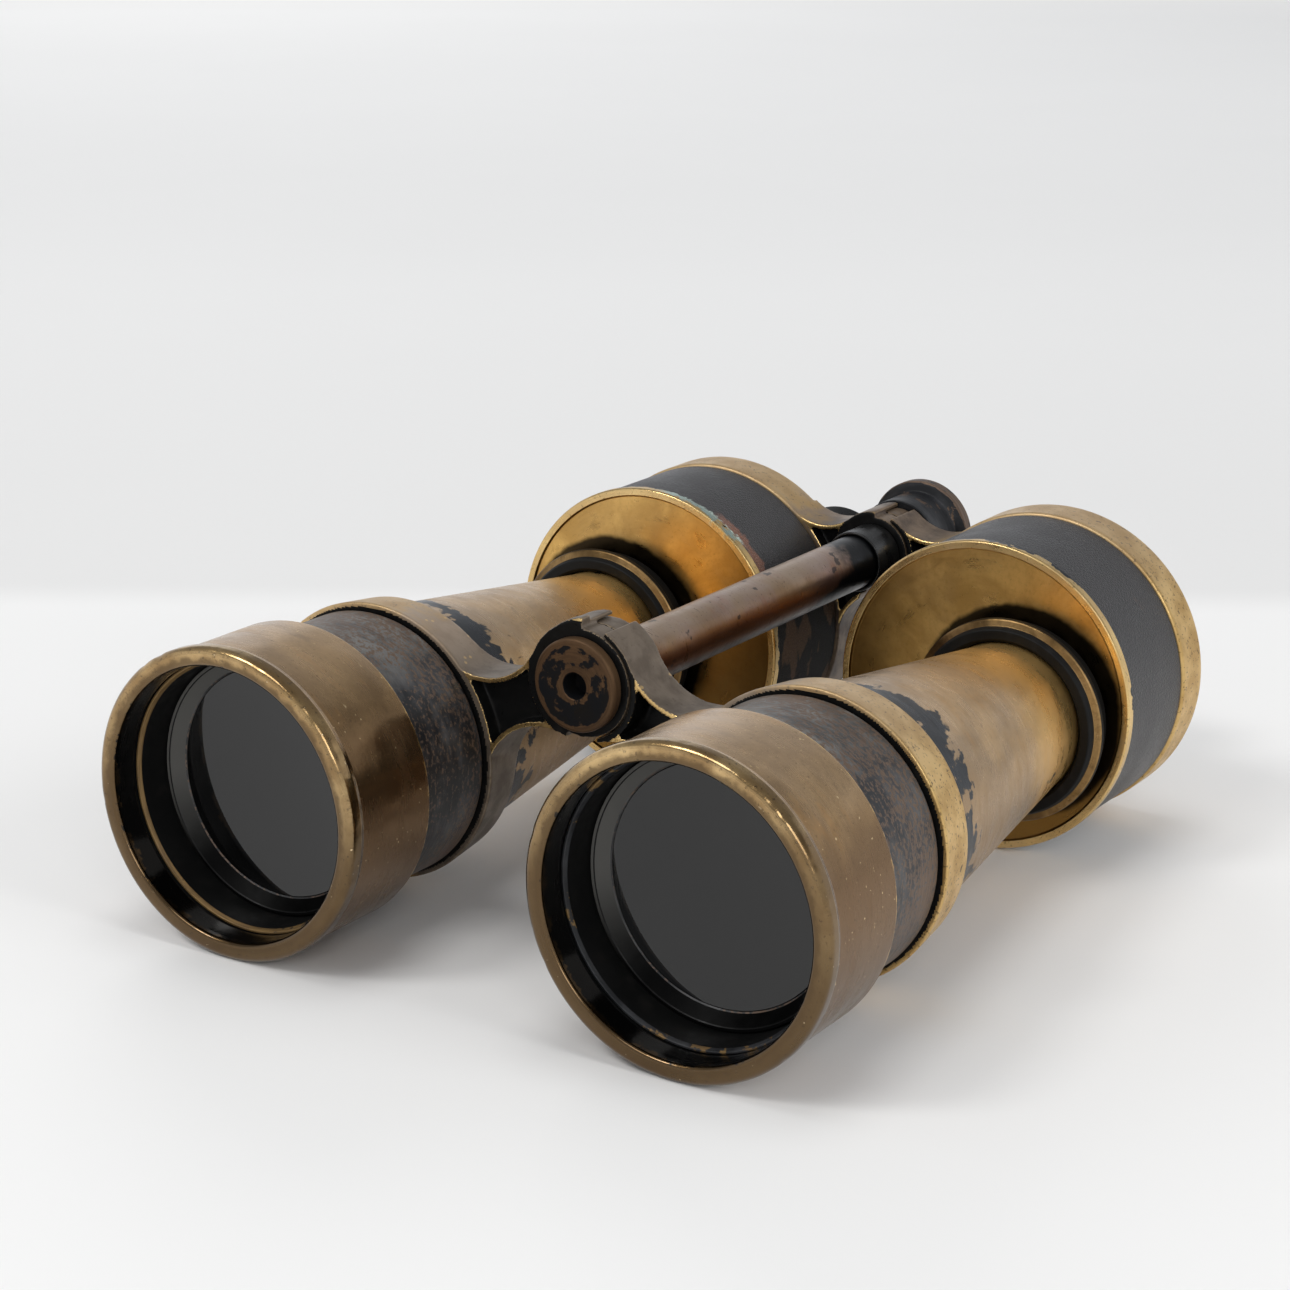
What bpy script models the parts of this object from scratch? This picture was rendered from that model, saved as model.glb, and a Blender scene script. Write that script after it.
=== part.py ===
"""Marine prism binoculars with hooded objectives, two bridges on one hinge and Porro prism drums.

Run with: blender --background --python part.py
Metres, +Z up. The objectives look along -Y, and the binoculars lie on the table, hinge uppermost.
The user looks along -Y, so the left barrel is the one at +X.
A station is a distance along the barrel, counted from the front rim towards the eyepieces.
"""
import math
from collections import namedtuple

import bmesh
import bpy
from mathutils import Matrix, Vector

mm = 0.001
gap = 0.3 * mm                      # clearance between neighbouring pieces
weld = 0.00001                      # distance at which vertices merge

turns_large = 28                    # facets round the barrels and drums
turns_middle = 24                   # facets round lenses, eyepieces and the hinge
turns_small = 16                    # facets round small inner pieces
arc_step = math.radians(15)         # angle between the points of an outline's arc

# Objective end
barrel_radius = 30.0 * mm
hood_wall = 3.0 * mm
hood_length = 25.7 * mm
rim_swell = 0.7 * mm                # how far the rolled rim stands out of the hood
rim_lip = 0.45 * mm                 # how far it reaches in over the barrel's edge
hood_mouth_depth = 4.9 * mm
rim_roll = 1.6 * mm                 # how far the rolled rim bulges forward
barrel_wall = 1.1 * mm
barrel_inset = 5.6 * mm             # from the hood's front to the barrel's front edge
barrel_showing = 23.7 * mm          # lacquered length between hood and bridge
shadow_gap = 0.6 * mm               # open joint between the lacquered barrel and the bridge
lens_inset = 8.3 * mm               # from the barrel's front edge to the retaining ring
lens_ring_wall = 0.8 * mm
lens_ring_length = 3.6 * mm
lens_edge = 7.6 * mm                # thickness of the glass at its edge
lens_curve = 110.0 * mm             # radius of the front surface
lens_seat_width = 3.3 * mm
lens_seat_length = 4.0 * mm

# Tapered tube and its collar on the drum
tube_step = 0.8 * mm                # from the tube's socket down to its taper
tube_back_radius = 18.4 * mm
tube_taper_length = 76.0 * mm
tube_wall = 1.2 * mm
tube_socket = 10.0 * mm             # straight length held inside the barrel
collar_length = 8.3 * mm
collar_wall = 3.4 * mm
collar_bead_radius = 23.8 * mm
collar_bead_width = 1.8 * mm
collar_spigot_wall = 1.6 * mm
collar_spigot_reach = 0.8 * mm      # past the plate, into the drum

# Prism drum
drum_radius = 36.5 * mm
drum_gap = 18.3 * mm                # between the two drums, as photographed
objective_outset = 9.2 * mm         # of the objective's axis from the drum's, across
plate_thickness = 2.4 * mm
plate_rim_width = 1.9 * mm
plate_recess = 0.6 * mm
plate_chamfer = 0.4 * mm
leather_inset = 0.5 * mm            # of the leather below the plate's rim
leather_thickness = 1.0 * mm
housing_wall = 1.5 * mm
prism_throw = 16.0 * mm             # sideways shift that each prism gives the beam
prism_margin = 0.5 * mm
prism_width = 17.0 * mm
prism_ridge = 2.0 * mm              # flat ground along the prism's ridge
prism_room = 2.2 * mm               # free length behind each ridge
shelf_thickness = 2.2 * mm
beam_radius = 6.8 * mm
strap_width = 5.0 * mm
strap_thickness = 0.6 * mm
strap_foot = 4.4 * mm
cap_thickness = 3.2 * mm
cap_lip = 2.3 * mm                  # of the cap inside the rear band
cap_rounding = 1.0 * mm

# Hinge
hinge_room = 13.5 * mm              # from the drum's surface to the hinge axis
hinge_tube_radius = 6.5 * mm
hinge_tube_wall = 1.7 * mm
hinge_screw_radius = 10.2 * mm
hinge_screw_thickness = 2.4 * mm
hinge_screw_chamfer = 0.5 * mm
hinge_screw_hole = 2.9 * mm         # radius of the hole for a pin wrench
hinge_screw_depth = 5.0 * mm
hinge_spigot_length = 8.0 * mm
hinge_collar_radius = 7.4 * mm
hinge_collar_length = 10.0 * mm
hinge_cap_radius = 10.6 * mm
hinge_cap_flange_radius = 13.2 * mm
hinge_cap_length = 15.0 * mm
hinge_cap_flange = 3.4 * mm
hinge_cap_chamfer = 0.8 * mm
open_travel = math.radians(26)      # between the stops above the hinge
close_travel = math.radians(34)     # between the stops below the hinge

# Bridges
front_bridge_width = 11.9 * mm
rear_bridge_width = 12.2 * mm
front_knuckle_radius = 11.8 * mm
rear_knuckle_radius = 9.0 * mm
front_fillet = 15.7 * mm            # of the hollow curve between band and knuckle
rear_fillet = 13.0 * mm
bridge_flange = 1.2 * mm
front_band_wall = 2.65 * mm         # at the band's front edge
front_band_taper = 1.3 * mm         # how much narrower the band is at its back edge
knuckle_cover = 1.0 * mm            # flange passing over the other half's knuckle
web_inset = 3.4 * mm
web_thickness = 2.6 * mm
root_ledge = 0.5 * mm               # left round the band and the knuckle by the pockets
front_band_rounding = 0.6 * mm
rear_band_rounding = 1.4 * mm
stop_tab_height = 1.1 * mm
stop_tab_width = 3.5 * mm           # along the barrel
stop_tab_arc = math.radians(30)     # length of its ramp
stop_depth = 3.3 * mm               # how far out from the arm's curve a stop face reaches

# Eyepiece
eyepiece_bore = 11.0 * mm
eyepiece_tube_wall = 1.6 * mm
eyepiece_tube_length = 12.0 * mm
eyepiece_flange_radius = 14.6 * mm
eyepiece_flange = 2.2 * mm
boss_wall = 3.0 * mm
boss_height = 1.6 * mm
focus_ring_wall = 2.5 * mm
focus_ring_length = 10.2 * mm
focus_ring_step = 1.2 * mm
focus_travel = 4.0 * mm
draw_tube_wall = 1.1 * mm
eyecup_radius = 15.2 * mm
eyecup_length = 11.0 * mm
eyecup_floor = 1.3 * mm
eyecup_wall = 1.5 * mm
eyecup_socket = 3.4 * mm
eye_opening_radius = 7.4 * mm
eye_lens_thickness = 4.6 * mm
field_lens_thickness = 3.8 * mm
ocular_curve = 24.0 * mm
field_stop_opening = 6.4 * mm
field_stop_thickness = 1.2 * mm

# Worked out: across the barrel
hood_bore = barrel_radius + gap
hood_radius = hood_bore + hood_wall
hood_rim_radius = hood_radius + rim_swell
hood_mouth_radius = hood_bore - rim_lip
barrel_bore = barrel_radius - barrel_wall
fitted_radius = barrel_bore - gap                       # of what slides into the barrel
tube_front_radius = fitted_radius - tube_step
front_band_bore = fitted_radius + gap
front_band_radius = front_band_bore + front_band_wall - front_band_taper    # at its back edge
leather_radius = drum_radius - leather_inset
housing_radius = leather_radius - leather_thickness - gap
housing_bore = housing_radius - housing_wall
prism_length = 2 * (prism_throw + prism_margin)
prism_height = (prism_length - prism_ridge) / 2
hinge_bore = hinge_tube_radius + gap
draw_radius = eyepiece_bore - gap
draw_bore = draw_radius - draw_tube_wall
ocular_radius = draw_bore - gap
eyepiece_tube_radius = eyepiece_bore + eyepiece_tube_wall
cap_hole = eyepiece_tube_radius - gap

# Worked out: the axes, as (x, z) on the +X side
drum_axis = Vector((drum_radius + drum_gap / 2, drum_radius))
objective_axis = Vector((drum_axis.x + objective_outset, hood_rim_radius))
hinge_distance = drum_radius + hinge_room
hinge_axis = Vector((0, drum_axis.y + math.sqrt(hinge_distance ** 2 - drum_axis.x ** 2)))
offset_direction = (drum_axis - objective_axis).normalized()
eyepiece_axis = objective_axis + offset_direction * (prism_throw * math.sqrt(2))
first_throw = Matrix.Rotation(math.radians(-45), 2) @ offset_direction
second_throw = Matrix.Rotation(math.radians(45), 2) @ offset_direction
between_prisms = objective_axis + first_throw * prism_throw

# Worked out: stations along the barrel
barrel_front = barrel_inset
lens_ring_front = barrel_front + lens_inset
lens_front = lens_ring_front + lens_ring_length + gap
lens_seat_front = lens_front + lens_edge + gap
barrel_back = hood_length + barrel_showing
front_bridge_front = barrel_back + shadow_gap
front_bridge_back = front_bridge_front + front_bridge_width
tube_front = barrel_back - tube_socket
tube_end = front_bridge_back + tube_taper_length
collar_front = tube_end + gap
plate_front = collar_front + collar_length + gap
plate_back = plate_front + plate_thickness
housing_front = plate_back + gap
shelf_front = housing_front + prism_room + prism_height + gap
shelf_back = shelf_front + shelf_thickness
housing_back = shelf_back + gap + prism_height + prism_room
cap_front = housing_back + gap
cap_back = cap_front + cap_thickness
rear_bridge_back = cap_front + cap_lip
rear_bridge_front = rear_bridge_back - rear_bridge_width
boss_back = cap_back + boss_height
flange_front = boss_back + gap
flange_back = flange_front + eyepiece_flange
eyepiece_tube_back = flange_back + eyepiece_tube_length
focus_ring_front = flange_back + gap
focus_ring_back = focus_ring_front + focus_ring_length
draw_tube_front = cap_front + focus_travel
eyecup_front = max(focus_ring_back, eyepiece_tube_back) + focus_travel + gap
eyecup_back = eyecup_front + eyecup_length
draw_tube_back = eyecup_front + eyecup_socket
eye_lens_front = draw_tube_back - eye_lens_thickness
field_lens_front = draw_tube_front + gap
field_stop_front = field_lens_front + field_lens_thickness + gap
hinge_tube_back = rear_bridge_back
middle_station = (eyecup_back - rim_roll) / 2           # sits at Y = 0

BridgeForm = namedtuple("BridgeForm", "band_axis band_radius taper rounding bore knuckle_radius "
                                      "cover_radius fillet front back")
front_form = BridgeForm(objective_axis, front_band_radius, front_band_taper, front_band_rounding,
                        front_band_bore, front_knuckle_radius, front_knuckle_radius + gap + knuckle_cover,
                        front_fillet, front_bridge_front, front_bridge_back)
rear_form = BridgeForm(drum_axis, drum_radius, 0, rear_band_rounding,
                       housing_radius + gap, rear_knuckle_radius, rear_knuckle_radius + gap + knuckle_cover,
                       rear_fillet, rear_bridge_front, rear_bridge_back)

collection = bpy.data.collections.new("marine_binoculars")
cutters = bpy.data.collections.new("cutters")

brass = ("brass", (0.52, 0.36, 0.14), 0.38, 1.0)
aged_brass = ("aged_brass", (0.33, 0.22, 0.11), 0.48, 1.0)
black_lacquer = ("black_lacquer", (0.03, 0.027, 0.025), 0.45, 0.0)
bronze = ("bronze", (0.24, 0.14, 0.10), 0.42, 1.0)
leather = ("leather", (0.045, 0.045, 0.048), 0.75, 0.0)
glass = ("glass", (0.10, 0.10, 0.11), 0.05, 0.0)
ebonite = ("ebonite", (0.02, 0.02, 0.02), 0.5, 0.0)


def clear_scene():
    for item in list(bpy.data.objects):
        bpy.data.objects.remove(item)
    for group in (cutters, collection):
        bpy.context.scene.collection.children.link(group)


def finish_material(name, finish):
    """A material of its own for one piece."""
    kind, colour, roughness, metallic = finish
    material = bpy.data.materials.new(name + "_" + kind)
    material.use_nodes = True
    shader = material.node_tree.nodes["Principled BSDF"]
    shader.inputs["Base Color"].default_value = (*colour, 1)
    shader.inputs["Roughness"].default_value = roughness
    shader.inputs["Metallic"].default_value = metallic
    material.diffuse_color = (*colour, 1)
    return material


def add_object(name, mesh, finish):
    """Link a mesh as a piece, or as a cutter where it has no finish."""
    piece = bpy.data.objects.new(name, mesh)
    if finish is None:
        cutters.objects.link(piece)
        piece.hide_render = True
        piece.display_type = "WIRE"
    else:
        collection.objects.link(piece)
        mesh.materials.append(finish_material(name, finish))
    return piece


def turned(name, profile, axis, side, turns, finish=None):
    """Turn a profile of (radius, station) about a barrel's axis.

    The profile runs backward down its outer side. It closes on itself, or starts and ends on
    the axis. Its radii are measured to the middle of the facets.
    """
    across_corners = 1 / math.cos(math.pi / turns)
    points = [(radius * across_corners, 0, -station) for radius, station in profile]
    edges = [(i, i + 1) for i in range(len(points) - 1)]
    if profile[0][0] > 0:
        edges.append((len(points) - 1, 0))
    mesh = bpy.data.meshes.new(name)
    mesh.from_pydata(points, edges, [])
    piece = add_object(name, mesh, finish)
    piece.location = (side * axis.x, -middle_station, axis.y)
    piece.rotation_euler = (math.pi / 2, math.pi / turns, 0)
    screw = piece.modifiers.new("Turn", "SCREW")
    screw.axis = "Z"
    screw.angle = 2 * math.pi
    screw.steps = turns
    screw.render_steps = turns
    screw.use_merge_vertices = True
    screw.merge_threshold = weld
    screw.use_smooth_shade = False
    return piece


def ring(name, outer, inner, front, back, axis, side, turns, finish=None):
    """A plain ring with square edges."""
    profile = [(outer, front), (outer, back), (inner, back), (inner, front)]
    return turned(name, profile, axis, side, turns, finish)


def rod(name, radius, front, back, axis, side, turns, finish=None):
    """A plain solid cylinder."""
    profile = [(0, front), (radius, front), (radius, back), (0, back)]
    return turned(name, profile, axis, side, turns, finish)


def extruded(name, outline, depth, place, along, up, finish=None):
    """Extrude a flat outline both ways from its own plane, which holds along and up."""
    curve = bpy.data.curves.new(name, "CURVE")
    curve.dimensions = "2D"
    curve.fill_mode = "BOTH"
    curve.extrude = depth / 2
    spline = curve.splines.new("POLY")
    spline.points.add(len(outline) - 1)
    for point, (x, y) in zip(spline.points, outline):
        point.co = (x, y, 0, 1)
    spline.use_cyclic_u = True
    drawn = bpy.data.objects.new(name + "_outline", curve)
    bpy.context.scene.collection.objects.link(drawn)
    graph = bpy.context.evaluated_depsgraph_get()
    mesh = bpy.data.meshes.new_from_object(drawn.evaluated_get(graph))
    bpy.data.objects.remove(drawn)
    shape = bmesh.new()
    shape.from_mesh(mesh)
    bmesh.ops.remove_doubles(shape, verts=shape.verts, dist=weld)
    bmesh.ops.recalc_face_normals(shape, faces=shape.faces)
    shape.to_mesh(mesh)
    shape.free()
    mesh.name = name
    mesh.materials.clear()
    piece = add_object(name, mesh, finish)
    columns = Matrix((along, up, along.cross(up))).transposed()
    piece.matrix_world = Matrix.Translation(place) @ columns.to_4x4()
    return piece


def across(name, outline, front, back, side, finish=None):
    """Extrude an outline of (x, z) points along the barrel between two stations."""
    mirrored = [(side * x, z) for x, z in outline]
    place = Vector((0, (front + back) / 2 - middle_station, 0))
    return extruded(name, mirrored, back - front, place, Vector((1, 0, 0)), Vector((0, 0, 1)), finish)


def combine(piece, other, operation):
    step = piece.modifiers.new(operation.title(), "BOOLEAN")
    step.operation = operation
    step.solver = "EXACT"
    step.object = other


def arc(centre, radius, start, end):
    """Points on an arc, from one angle to another, whichever way that turns."""
    count = max(2, math.ceil(abs(end - start) / arc_step))
    angles = [start + (end - start) * i / count for i in range(count + 1)]
    return [(centre.x + radius * math.cos(a), centre.y + radius * math.sin(a)) for a in angles]


def direction(start, end):
    """The angle of the line between two points."""
    step = end - start
    return math.atan2(step.y, step.x)


def circles_meet(centre, radius, other, other_radius, toward):
    """Where two circles cross, on the side of their line of centres that holds toward."""
    line = other - centre
    along = (line.length_squared + radius ** 2 - other_radius ** 2) / (2 * line.length)
    height = math.sqrt(radius ** 2 - along ** 2)
    unit = line.normalized()
    normal = Vector((-unit.y, unit.x))
    if normal.dot(toward - centre) < 0:
        normal.negate()
    return centre + unit * along + normal * height


def sag(curve, radius):
    """Depth of a spherical surface at a distance from its axis."""
    return curve - math.sqrt(curve ** 2 - radius ** 2)


def polar(centre, radius, angle):
    return (centre.x + radius * math.cos(angle), centre.y + radius * math.sin(angle))


def fillet_centre(form, above):
    """Centre of the hollow curve that runs from the band to the knuckle, above or below the arm."""
    toward = hinge_axis + Vector((0, form.fillet if above else -hinge_axis.y))
    return circles_meet(form.band_axis, form.band_radius - gap / 2 + form.fillet,
                        hinge_axis, form.cover_radius + form.fillet, toward)


def arm_outline(form):
    """Outline of a bridge's arm: two hollow curves run from the band to the knuckle."""
    upper = fillet_centre(form, True)
    lower = fillet_centre(form, False)
    knuckle_top = direction(hinge_axis, upper)
    knuckle_bottom = direction(hinge_axis, lower) + 2 * math.pi
    outline = arc(upper, form.fillet, direction(upper, form.band_axis) + 2 * math.pi, knuckle_top + math.pi)
    outline += arc(hinge_axis, form.cover_radius, knuckle_top, knuckle_bottom)[1:]
    outline += arc(lower, form.fillet, knuckle_bottom - math.pi, direction(lower, form.band_axis))[1:]
    return outline


def pocket_outline(form):
    """Outline of the pocket between the arm's two flanges, the band and the knuckle."""
    band_edge = form.band_radius + form.taper + root_ledge
    knuckle_edge = form.cover_radius + root_ledge
    inner = form.fillet + bridge_flange
    throat = hinge_axis + (form.band_axis - hinge_axis).normalized() * knuckle_edge
    centres = {above: fillet_centre(form, above) for above in (True, False)}
    corners = {}
    for above, centre in centres.items():
        corners[above, "band"] = circles_meet(centre, inner, form.band_axis, band_edge, throat)
        corners[above, "knuckle"] = circles_meet(centre, inner, hinge_axis, knuckle_edge, throat)

    def edge(centre, radius, first, last):
        return arc(centre, radius, direction(centre, first) % (2 * math.pi),
                   direction(centre, last) % (2 * math.pi))

    outline = edge(centres[True], inner, corners[True, "band"], corners[True, "knuckle"])
    outline += arc(hinge_axis, knuckle_edge, direction(hinge_axis, corners[True, "knuckle"]),
                   direction(hinge_axis, corners[False, "knuckle"]))[1:]
    outline += edge(centres[False], inner, corners[False, "knuckle"], corners[False, "band"])[1:]
    outline += edge(form.band_axis, band_edge, corners[False, "band"], corners[True, "band"])[1:-1]
    return outline


def beyond_stops(form, top_stop, bottom_stop):
    """Outline of the ring outside the knuckle that belongs to the other half."""
    outline = arc(hinge_axis, form.cover_radius + stop_depth, top_stop, bottom_stop)
    return outline + arc(hinge_axis, form.knuckle_radius, bottom_stop, top_stop)


def stop_tab(name, form, side):
    """A small ramp on the knuckle, whose upright end is the stop."""
    start = math.pi / 2 - stop_tab_arc
    end = math.pi / 2 + stop_tab_arc / 10       # the cut at the stop trims it
    root = form.cover_radius - root_ledge
    outline = [polar(hinge_axis, root, start), polar(hinge_axis, form.cover_radius, start),
               polar(hinge_axis, form.cover_radius + stop_tab_height, end), polar(hinge_axis, root, end)]
    return across(name + "_tab", outline, form.front + 2 * weld, form.front + stop_tab_width, side)


def bridge(name, side, form, tab):
    """One half of a bridge: a band round the barrel and a webbed arm to its knuckle.

    The right half's knuckle is the front one of the pair, and the left half's is behind it.
    """
    front, back = form.front, form.back
    knuckle_first = side < 0
    middle = (front + back) / 2
    front_radius = form.band_radius + form.taper
    rounding = form.rounding
    band = [(front_radius - rounding / 3, front), (front_radius, front + rounding / 3),
            (form.band_radius, back - rounding), (form.band_radius - rounding / 3, back - rounding / 3),
            (form.band_radius - rounding, back), (form.bore / 2, back), (form.bore / 2, front)]
    piece = turned(name, band, form.band_axis, side, turns_large, aged_brass)
    combine(piece, across(name + "_arm", arm_outline(form), front + weld, back - weld, side), "UNION")
    if tab:
        combine(piece, stop_tab(name, form, side), "UNION")

    web_front = front + web_inset if knuckle_first else back - web_inset - web_thickness
    pocket = pocket_outline(form)
    for label, start, end in (("front", front - 1 * mm, web_front),
                              ("back", web_front + web_thickness, back + 1 * mm)):
        combine(piece, across(f"{name}_{label}_pocket", pocket, start, end, side), "DIFFERENCE")

    if knuckle_first:
        other_front, other_back = middle - gap / 2, back + 1 * mm
    else:
        other_front, other_back = front - 1 * mm, middle + gap / 2
    room = rod(name + "_knuckle_room", form.knuckle_radius + gap, other_front, other_back,
               hinge_axis, side, turns_large)
    combine(piece, room, "DIFFERENCE")

    top_stop = math.pi / 2 if knuckle_first else math.pi / 2 - open_travel
    bottom_stop = 3 * math.pi / 2 + close_travel / 2
    outline = beyond_stops(form, top_stop, bottom_stop)
    combine(piece, across(name + "_stops", outline, front - 1 * mm, back + 1 * mm, side), "DIFFERENCE")

    for label, radius, axis, turns in (("barrel", form.bore, form.band_axis, turns_large),
                                       ("hinge", hinge_bore, hinge_axis, turns_middle)):
        drill = rod(f"{name}_{label}_bore", radius, front - 2 * mm, back + 2 * mm, axis, side, turns)
        combine(piece, drill, "DIFFERENCE")


def objective(prefix, side):
    """Hood, barrel, lens and tapered tube, from the front to the drum."""
    hood = [(hood_mouth_radius + rim_roll, -rim_roll),
            (hood_rim_radius - rim_roll, -rim_roll),
            (hood_rim_radius, 0),
            (hood_rim_radius, rim_roll),
            (hood_radius, 2 * rim_roll),
            (hood_radius, hood_length),
            (hood_bore, hood_length),
            (hood_bore, hood_mouth_depth),
            (hood_mouth_radius, hood_mouth_depth),
            (hood_mouth_radius, 0)]
    turned(prefix + "objective_hood", hood, objective_axis, side, turns_large, aged_brass)
    ring(prefix + "objective_barrel", barrel_radius, barrel_bore, barrel_front, barrel_back,
         objective_axis, side, turns_large, black_lacquer)
    ring(prefix + "lens_ring", fitted_radius, fitted_radius - lens_ring_wall, lens_ring_front,
         lens_ring_front + lens_ring_length, objective_axis, side, turns_middle, aged_brass)
    ring(prefix + "lens_seat", fitted_radius, fitted_radius - lens_seat_width, lens_seat_front,
         lens_seat_front + lens_seat_length, objective_axis, side, turns_middle, black_lacquer)

    vertex = lens_front - sag(lens_curve, fitted_radius)
    rings = [fitted_radius * share for share in (0, 0.35, 0.7)]
    lens = [(radius, vertex + sag(lens_curve, radius)) for radius in rings]
    lens_back = lens_front + lens_edge
    lens += [(fitted_radius, lens_front), (fitted_radius, lens_back), (0, lens_back)]
    turned(prefix + "objective_lens", lens, objective_axis, side, turns_middle, glass)

    socket_bore = fitted_radius - tube_wall
    tube = [(fitted_radius, tube_front), (fitted_radius, front_bridge_back),
            (tube_front_radius, front_bridge_back + gap), (tube_back_radius, tube_end),
            (tube_back_radius, plate_front), (tube_back_radius - tube_wall, plate_front),
            (tube_back_radius - tube_wall, tube_end), (socket_bore, front_bridge_back),
            (socket_bore, tube_front)]
    turned(prefix + "objective_tube", tube, objective_axis, side, turns_large, aged_brass)

    bore = tube_back_radius + gap
    outer = bore + collar_wall
    bead = collar_front + collar_bead_width
    spigot = bore + collar_spigot_wall
    spigot_back = plate_back + collar_spigot_reach
    collar = [(outer, collar_front), (collar_bead_radius, bead),
              (collar_bead_radius, bead + collar_bead_width), (outer, bead + 1.5 * collar_bead_width),
              (outer, collar_front + collar_length), (spigot, collar_front + collar_length),
              (spigot, spigot_back), (bore, spigot_back), (bore, collar_front)]
    turned(prefix + "tube_collar", collar, objective_axis, side, turns_large, black_lacquer)


def prism_and_strap(prefix, label, side, start, throw, face, height_sign):
    """A right-angle prism on the shelf and the sprung strap that holds it.

    start is the (x, z) point where the beam enters, and throw is the unit way it is shifted.
    """
    centre = start + throw * (prism_throw / 2)
    along = Vector((side * throw.x, 0, throw.y))
    up = Vector((0, height_sign, 0))
    half = prism_length / 2
    ridge = prism_ridge / 2
    place = Vector((side * centre.x, face - middle_station, centre.y)) + up * gap
    outline = [(-half, 0), (half, 0), (ridge, prism_height), (-ridge, prism_height)]
    extruded(f"{prefix}{label}_prism", outline, prism_width, place, along, up, glass)

    slope = gap * math.sqrt(2)
    thick = strap_thickness * math.tan(math.pi / 8)
    low = prism_height + gap
    reach = half + slope
    knee = ridge + gap * math.tan(math.pi / 8)
    outline = [(-reach - strap_foot, 0), (-reach, 0), (-knee, low), (knee, low), (reach, 0),
               (reach + strap_foot, 0), (reach + strap_foot, strap_thickness),
               (reach + thick, strap_thickness), (knee + thick, low + strap_thickness),
               (-knee - thick, low + strap_thickness), (-reach - thick, strap_thickness),
               (-reach - strap_foot, strap_thickness)]
    extruded(f"{prefix}{label}_prism_strap", outline, strap_width, place, along, up, brass)


def drum(prefix, side):
    """The round prism housing: plate, shell, leather, prisms on their shelf and rear cap."""
    rim = drum_radius - plate_rim_width
    floor = plate_front + plate_recess
    plate = [(0, floor), (rim, floor), (rim + plate_chamfer, plate_front),
             (drum_radius - plate_chamfer, plate_front), (drum_radius, plate_front + plate_chamfer),
             (drum_radius, plate_back), (0, plate_back)]
    plate = turned(prefix + "prism_plate", plate, drum_axis, side, turns_large, brass)
    opening = tube_back_radius + gap + collar_spigot_wall + gap
    combine(plate, rod(prefix + "plate_opening", opening, plate_front - 1 * mm, plate_back + 1 * mm,
                       objective_axis, side, turns_large), "DIFFERENCE")

    ring(prefix + "prism_housing", housing_radius, housing_bore, housing_front, housing_back,
         drum_axis, side, turns_large, black_lacquer)
    ring(prefix + "leather_cover", leather_radius, leather_radius - leather_thickness, housing_front,
         rear_bridge_front - gap, drum_axis, side, turns_large, leather)

    shelf = rod(prefix + "prism_shelf", housing_bore - gap, shelf_front, shelf_back,
                drum_axis, side, turns_large, brass)
    windows = (("entry", objective_axis), ("middle", between_prisms), ("exit", eyepiece_axis))
    for label, axis in windows:
        combine(shelf, rod(f"{prefix}{label}_window", beam_radius, shelf_front - 1 * mm, shelf_back + 1 * mm,
                           axis, side, turns_small), "DIFFERENCE")
    prism_and_strap(prefix, "rear", side, objective_axis, first_throw, shelf_back, 1)
    prism_and_strap(prefix, "front", side, between_prisms, second_throw, shelf_front, -1)

    cap = [(0, cap_front), (housing_radius, cap_front), (housing_radius, cap_back - cap_rounding),
           (housing_radius - cap_rounding, cap_back), (0, cap_back)]
    cap = turned(prefix + "rear_cap", cap, drum_axis, side, turns_large, brass)
    boss = rod(prefix + "cap_boss", cap_hole + boss_wall, cap_front + 1 * mm, boss_back,
               eyepiece_axis, side, turns_middle)
    combine(cap, boss, "UNION")
    combine(cap, rod(prefix + "cap_opening", cap_hole, cap_front - 1 * mm, boss_back + 1 * mm,
                     eyepiece_axis, side, turns_middle), "DIFFERENCE")


def ocular_lens(name, radius, front, thickness, side):
    """A double-convex lens."""
    depth = sag(ocular_curve, radius)
    middle = radius * 0.6
    dip = sag(ocular_curve, middle)
    profile = [(0, front), (middle, front + dip), (radius, front + depth),
               (radius, front + thickness - depth / 2), (middle, front + thickness - dip / 2),
               (0, front + thickness)]
    turned(name, profile, eyepiece_axis, side, turns_small, glass)


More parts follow.
